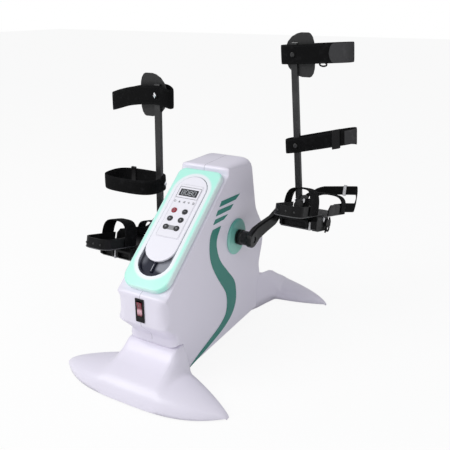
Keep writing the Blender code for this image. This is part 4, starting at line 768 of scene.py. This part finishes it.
def brick(middle, along, across, out, length, wide, low, high, place):
    """Block on a band: its length runs along the band, and it reaches from low to high off the inner face."""
    middle, along, across, out = (np.asarray(v, float) for v in (middle, along, across, out))
    verts = np.array([middle + along * a * length / 2 + across * b * wide / 2 + out * c
                      for c in (low, high) for a, b in ((-1, -1), (1, -1), (1, 1), (-1, 1))])
    return place(*verts.T), tube_faces(2, 4)


def wire(path, radius, place, closed=False, count=10):
    """Round wire along a path in space."""
    _, tangent = run_of(path, closed)
    a = np.cross(tangent, (0.13, 0.21, 0.97))
    a /= np.linalg.norm(a, axis=1)[:, None]
    b = np.cross(tangent, a)
    t = around(count)[None, :, None]
    grid = path[:, None] + radius * (a[:, None] * np.cos(t) + b[:, None] * np.sin(t))
    return place(*grid.reshape(-1, 3).T), tube_faces(len(path), count, closed)


HEEL_R, RIM_HIGHLIGHT_R, RIVET_Z = 0.024, 0.0012, 0.018
heel_turn = np.linspace(0.0, math.pi / 2, 10)
heel = np.stack([-HEEL_W + HEEL_R * (1 - np.cos(heel_turn)), -TRAY_HEEL + HEEL_R * (1 - np.sin(heel_turn))], -1)
flank = np.array([(-TRAY_W + 0.012, TRAY_TOE), (-TRAY_W, TRAY_TOE - 0.012), (-TRAY_W, 0.022), (-TRAY_W + 0.005, 0.010),
                  (-HEEL_W, -0.003)])
half_sole = np.concatenate([flank, heel])
sole_run = np.concatenate([half_sole, half_sole[::-1] * (-1.0, 1.0)])
for side, sign in SIDES:
    place = on_foot(sign)
    # painted highlight: a pale grey wire along the sole's edge stands for the light on its rim
    rim_highlight_line = np.column_stack([sole_run, np.full(len(sole_run), SOLE_Z + 0.4 * SOLE_T)])
    put_closed("sole_rim_highlight_" + side, *wire(rim_highlight_line, RIM_HIGHLIGHT_R, place, True, 8), grey_trim_and_rim_highlight, "foot_" + side, "black_plastic",
               sharp=40.0)
    slot_x = 0.029 if side == "right" else 0.002
    clip = brick((slot_x, -0.0335, -0.017), (1, 0, 0), (0, 0, 1), (0, -1, 0), 0.0042, 0.020, -0.010, 0.0022, place)
    put_closed("pedal_clip_" + side, *clip, clip_bright, "foot_" + side, "bright_steel", ease=0.0005)
    rivets = []
    for rivet_x in (-0.020, 0.0, 0.020):
        rv, rf = turned([(0.0, 0.0028), (0.0006, 0.0027), (0.0011, 0.0017), (0.0013, 0.0003)], 14)
        rivets.append((place(rivet_x + rv[:, 1], -TRAY_HEEL - rv[:, 0], RIVET_Z + rv[:, 2]), rf))
    put_closed("heel_rivets_" + side, *joined(rivets), rivet_dark, "foot_" + side, "black_plastic", sharp=60.0)

# the buckle: a bent hook with its prong and arm, and the block that holds them under the sole
place = on_foot(1.0)
turn = around(24)
hook = spread(0.0515, 0.031 + 0.0085 * np.cos(turn), -0.0225 + 0.0068 * np.sin(turn))
prong = np.array([(0.0510, 0.0235, -0.012), (0.0515, 0.018, -0.019), (0.0525, 0.014, -0.026),
                  (0.0530, 0.0105, -0.031)])
arm = np.array([(0.0490, 0.040, 0.004), (0.0515, 0.041, -0.006), (0.0520, 0.040, -0.016), (0.0515, 0.038, -0.021)])
buckle = [wire(hook, 0.0021, place, True), wire(prong, 0.0020, place), wire(arm, 0.0022, place),
          brick((0.0495, 0.026, -0.0085), (0, 1, 0), (0, 0, 1), (1, 0, 0), 0.028, 0.014, -0.003, 0.0035, place)]
put_closed("sole_buckle_right", *joined(buckle), pedal_resin, "foot_right", "black_plastic", ease=0.0006,
           sharp=50.0)


# Straps: black nylon webbing, woven in ribs along its length with a bound edge and a row of lock stitches.
# Ankle and instep straps are sewn arches, the toe band runs round the front of the foot through a keeper.
def woven(name, half, colour=(0.0034, 0.0034, 0.0037), lint_gain=2.3):
    """Webbing by its UV: ribs along the band crossed by short floats, a raised bound edge, dashes of stitching
    set in from it, and a little lint that lightens the colour in patches."""
    paint = Paint(name, Specular_IOR_Level=0.12)
    u, v, _ = paint.axes(paint.add("ShaderNodeUVMap", {"uv_map": "UVMap"}))
    ribs, floats = (v * (2 * math.pi / 0.0013)).wave(), (u * (2 * math.pi / 0.0021) + v * 2400.0).wave()
    far = v.size()
    bound = far.ramp(half - 0.0022, half - 0.0015)
    dashes = (u * (2 * math.pi / 0.0040)).wave().ramp(-0.3, 0.1)
    stitch = (far - (half - 0.0040)).size().ramp(0.00025, 0.00050, 1.0, 0.0) * dashes
    lint = paint.noise(70.0, 6.0).ramp(0.52, 0.75)
    tone = paint.mix(lint, colour, shade(colour, lint_gain))
    tone = paint.mix(bound, tone, shade(colour, 1.9))
    tone = paint.mix(stitch, tone, shade(colour, 4.5))
    relief = ribs * 0.45 + floats * 0.30 + bound * 0.8 + stitch
    return paint.skin(tone, lint * -0.10 + 0.86, paint.bump(relief, 0.00022))


def arch(half, foot_z, top_z, power):
    """Superellipse over the foot, from one side up and down the other, with its outward normals."""
    a = np.linspace(0.0, math.pi, 81)
    c, s = np.cos(a), np.maximum(np.sin(a), 0.0)
    x = -half * signed(c, 2 / power)
    z = foot_z + (top_z - foot_z) * s ** (2 / power)
    _, along = run_of(np.stack([x, z], -1))
    return x, z, -along[:, 1], along[:, 0]


STRAP_T, FLARE_BACK, FLARE_WIDE = 0.0024, 0.010, 0.014
narrow_web, instep_web, ankle_web = woven("web_24", 0.012), woven("web_34", 0.017), woven("web_44", 0.022)
for side, sign in SIDES:
    place = on_foot(sign)
    for name, at_y, wide, shape, paint in (("ankle_strap_", -0.028, 0.044, (0.0347, 0.0096, 0.067, 3.6), ankle_web),
                                           ("instep_strap_", 0.132, 0.034, (0.0508, 0.0066, 0.051, 4.6), instep_web)):
        x, z, out_x, out_z = arch(*shape)
        flares = 1.0 if name + side == "ankle_strap_right" else 0.0  # it widens down its outer side
        flare = flares * eased(np.linspace(0.0, 1.0, len(x)), 0.52, 0.30)
        strap = tape(spread(x, at_y - FLARE_BACK * flare, z), spread(out_x, 0.0, out_z), (0, 1, 0),
                     wide + FLARE_WIDE * flare, STRAP_T, place)
        put_web(name + side + "_webbing", strap, paint, "foot_" + side, (name + side,))

# outer side's ramp from and to along the foot, then the height of the band's front: inner side, outer side
TOE_LIFT = {"right": (0.203, 0.236, 0.030, 0.043), "left": (0.154, 0.242, 0.044, 0.034)}
TOE_Y, TOE_WIDE, TOE_HALF, TOE_DEEP, TOE_BULGE, TOE_MID_Z = 0.260, 0.024, 0.0448, 0.062, 0.013, 0.022
front_turn = np.linspace(math.pi, 0.0, 61)
front = np.stack([(TOE_HALF + TOE_BULGE) * np.cos(front_turn),
                  TOE_Y - TOE_DEEP * (1 - np.sin(front_turn).clip(0) ** 0.8)], -1)
for side, sign in SIDES:
    place = on_foot(sign)
    run = np.concatenate([[(-0.0357, 0.088), (-0.0357, 0.113), (-0.0417, 0.142), (-0.0458, 0.162)], front,
                          [(0.0468, 0.162), (0.0448, 0.148), (0.0448, 0.114), (0.0448, 0.070)]])
    rise_a, rise_b, high_in, high_out = TOE_LIFT[side]

    def lifted(x, y):
        """The band's front is held up. Its height goes from the inner to the outer side's value, and is reached
        by a ramp that runs forward along each side, over a range of its own."""
        share = np.clip(0.5 + 0.5 * x / TOE_HALF, 0.0, 1.0)
        t_in = np.clip((y - 0.154) / 0.088, 0.0, 1.0)
        t_out = np.clip((y - rise_a) / (rise_b - rise_a), 0.0, 1.0)
        return (t_in * (1 - share) + t_out * share) * (high_in + (high_out - high_in) * share)

    _, along = run_of(run)
    strap = tape(spread(*run.T, TOE_MID_Z + lifted(*run.T)), spread(-along[:, 1], along[:, 0], 0.0), (0, 0, 1),
                 TOE_WIDE, STRAP_T, place)
    put_web("toe_band_" + side + "_webbing", strap, narrow_web, "foot_" + side, ("toe_band_" + side,))
    keeper_x = 0.010 if side == "right" else 0.0
    keeper_mid = (keeper_x, TOE_Y - 0.0007, TOE_MID_Z + float(lifted(keeper_x, TOE_Y)))
    keeper = brick(keeper_mid, (1, 0, 0), (0, 0, 1), (0, 1, 0), 0.0085, 0.0300, -0.0020, 0.0044, place)
    put_closed("toe_keeper_" + side, *keeper, clip_bright if side == "right" else grey_trim_and_rim_highlight, "foot_" + side,
               "black_plastic", ease=0.0010)

# Shank supports: flat enamelled bars that turn on a bolt at the foot tray, each with an oval resin plate
# slotted over its top and two padded bands; studs through the bands hold them on the bars.
ROD_IN, ROD_BACK, PIVOT_RISE = math.tan(math.radians(3.3)), math.tan(math.radians(2.9)), 0.0099971
ROD_X, ROD_Y = 0.0493, 0.083911
rod_enamel = enamelled("rod_enamel", (0.016, 0.016, 0.0165), 0.36)
plate_resin = moulded("plate_resin", (0.012, 0.012, 0.0125), 0.48, grain=0.0001, grain_scale=600.0)


def on_rod(sign):
    """Place by a leaning rod: across outwards, fore and aft of it, and height over the pedal axis."""
    def place(x, y, z):
        rise = np.maximum(z - PIVOT_RISE, 0.0)
        return spread(sign * (FOOT_X - ROD_X + x - ROD_IN * rise),
                      HUB_Y + sign * PEDAL_RUN + ROD_Y + y - ROD_BACK * rise, HUB_Z + sign * PEDAL_RISE + z)
    return place


for side, _ in SIDES:
    finished("shank_rod_" + side, rod_enamel, "black_steel", sharp=32.0, bevel=0.0007)
    finished("calf_plate_" + side, plate_resin, "black_plastic", sharp=30.0, bevel=0.0007)

# Calf bands: padded bands with webbing faces, closed by hook and loop or a slider on their outer end.
# face that lies on the bar, height, width, half length, half depth, middle, drop outwards, drop inwards, slant
BAND_T, BAND_POWER = 0.004, 3.0
BANDS = {("upper", "right"): ("near", 0.368, 0.044, 0.084, 0.020, 0.051, 0.0, 0.0, 0.07),
         ("lower", "right"): ("near", 0.153, 0.036, 0.086, 0.020, 0.0556, 0.0, 0.0, 0.26),
         ("upper", "left"): ("near", 0.369, 0.044, 0.082, 0.018, 0.052, 0.025, 0.010, 0.0),
         ("lower", "left"): ("inner", 0.152, 0.036, 0.075, 0.045, -0.014, 0.0, 0.0, 0.0)}
band_web = {0.044: woven("band_web_44", 0.022), 0.036: woven("band_web_36", 0.018)}
patch_loop = woven("patch_loop", 0.5, (0.052, 0.052, 0.054), 1.25)
tail_grey = woven("tail_grey", 0.5, (0.046, 0.046, 0.048), 1.25)


def swell(t):
    """Share of a band's half depth that its outline reaches, a share t along its half length."""
    return (1.0 - abs(t) ** BAND_POWER) ** (1 / BAND_POWER)


def band_path(level, side, angles):
    """Inner face of a band at angles round its flattened loop: a superellipse that touches the bar, whose
    height drops by the square of the way to either end and rises by the slant; with outward normals."""
    face, z, wide, a, b, mid, out_drop, in_drop, slant = BANDS[(level, side)]
    if face == "near":
        x_mid, y_mid = mid, -0.0061 + b * swell((mid + 0.0075) / a)
    else:
        x_mid, y_mid = -0.0086 + a * swell((0.005 - mid) / b), mid
    c, s = np.cos(angles), np.sin(angles)
    x, y = x_mid + a * signed(c, 2 / BAND_POWER), y_mid + b * signed(s, 2 / BAND_POWER)
    drop = np.where(x > 0, out_drop * (x / (a + x_mid)) ** 2, in_drop * (x / (a - x_mid)) ** 2)
    bend = 2 - 2 / BAND_POWER
    out = spread(signed(c, bend) / a, signed(s, bend) / b, 0.0)
    return np.stack([x, y, z - drop + slant * x], -1), out / np.linalg.norm(out, axis=1)[:, None]


for side, sign in SIDES:
    place = on_rod(sign)
    for level in ("upper", "lower"):
        wide = BANDS[(level, side)][2]
        strap = tape(*band_path(level, side, around(180) + 0.01), (0, 0, 1), wide, BAND_T, place, True)
        name = level + "_calf_band_" + side
        put_web(name + "_webbing", strap, band_web[wide], "shank_" + side, (name,))

# on the right: the upper band's pale hook patch and wire ring, the lower band's slider and loose tail
place = on_rod(1.0)
path, out = band_path("upper", "right", np.linspace(5.02, 6.22, 40))
reach, _ = run_of(path)
rounded_end = 0.0215 * 2 * np.sqrt(np.clip(1.0 - np.clip(1.0 - reach / 0.013, 0.0, 1.0) ** 2.4, 0.0, 1.0)).clip(0.12)
patch = tape(path + out * (BAND_T - 0.0006), out, (0, 0, 1), rounded_end, 0.0021, place)
put_web("hook_patch_right", patch, patch_loop, "shank_right")
path, out = band_path("upper", "right", np.array([4.87]))
ring_mid = path[0] + out[0] * 0.0050 + (0.0, 0.0, -0.0235)
ring = ring_mid + spread(0.0085 * np.cos(turn), 0.0, 0.0042 * np.sin(turn))
put_closed("band_ring_right", *wire(ring, 0.0020, place, True), frame_black, "shank_right", "black_plastic",
           sharp=60.0)

path, out = band_path("lower", "right", np.linspace(4.97, 6.20, 30))
_, along = run_of(path)
slider = brick(path[4], along[4], (0, 0, 1), out[4], 0.020, 0.046, -0.001, BAND_T + 0.0030, place)
put_closed("band_slider_right", *slider, frame_black, "shank_right", "black_plastic", ease=0.0015)
flare = np.linspace(0.0, 1.0, 16)[:, None]
tail_path = path[12:28] + out[12:28] * (BAND_T - 0.0004 + 0.0050 * flare ** 2)
tail = tape(tail_path, out[12:28], (0, 0, 1), 0.033 + 0.006 * flare.ravel() ** 3, 0.0020, place)
put_web("band_tail_right", tail, tail_grey, "shank_right")

# on the left: the lower band's keeper, and the plated four-sided heads of the studs that hold both bands
place = on_rod(-1.0)
path, out = band_path("lower", "left", np.linspace(1.10, 1.30, 3))
keeper = brick(path[1], (1, 0, 0), (0, 0, 1), out[1], 0.014, 0.044, -0.0015, BAND_T + 0.0020, place)
put_closed("band_keeper_left", *keeper, frame_black, "shank_left", "black_plastic", ease=0.0012)
diamond = np.array([(0.0, 0.0072), (0.0050, 0.0), (0.0, -0.0072), (-0.0050, 0.0)])
near_face = -0.0061 + 0.018 * swell((0.052 + 0.0075) / 0.082) - 0.018 * swell(0.052 / 0.082) - 0.0046
side_face = -0.0086 + 0.075 * swell(0.019 / 0.045) - 0.075 * swell(0.014 / 0.045) - 0.0046
(head_x, head_z), head_out = np.concatenate([diamond, 0.5 * diamond]).T, np.repeat((0.0, 0.0024), 4)
heads = joined([(place(head_x, near_face - 0.0024 - head_out, 0.369 + head_z), tube_faces(2, 4)),
                (place(side_face - 0.0024 - head_out, head_x, 0.152 + head_z), tube_faces(2, 4))])
put_closed("bolt_heads_left", *heads, chrome, "shank_left", "bright_steel", ease=0.0004)
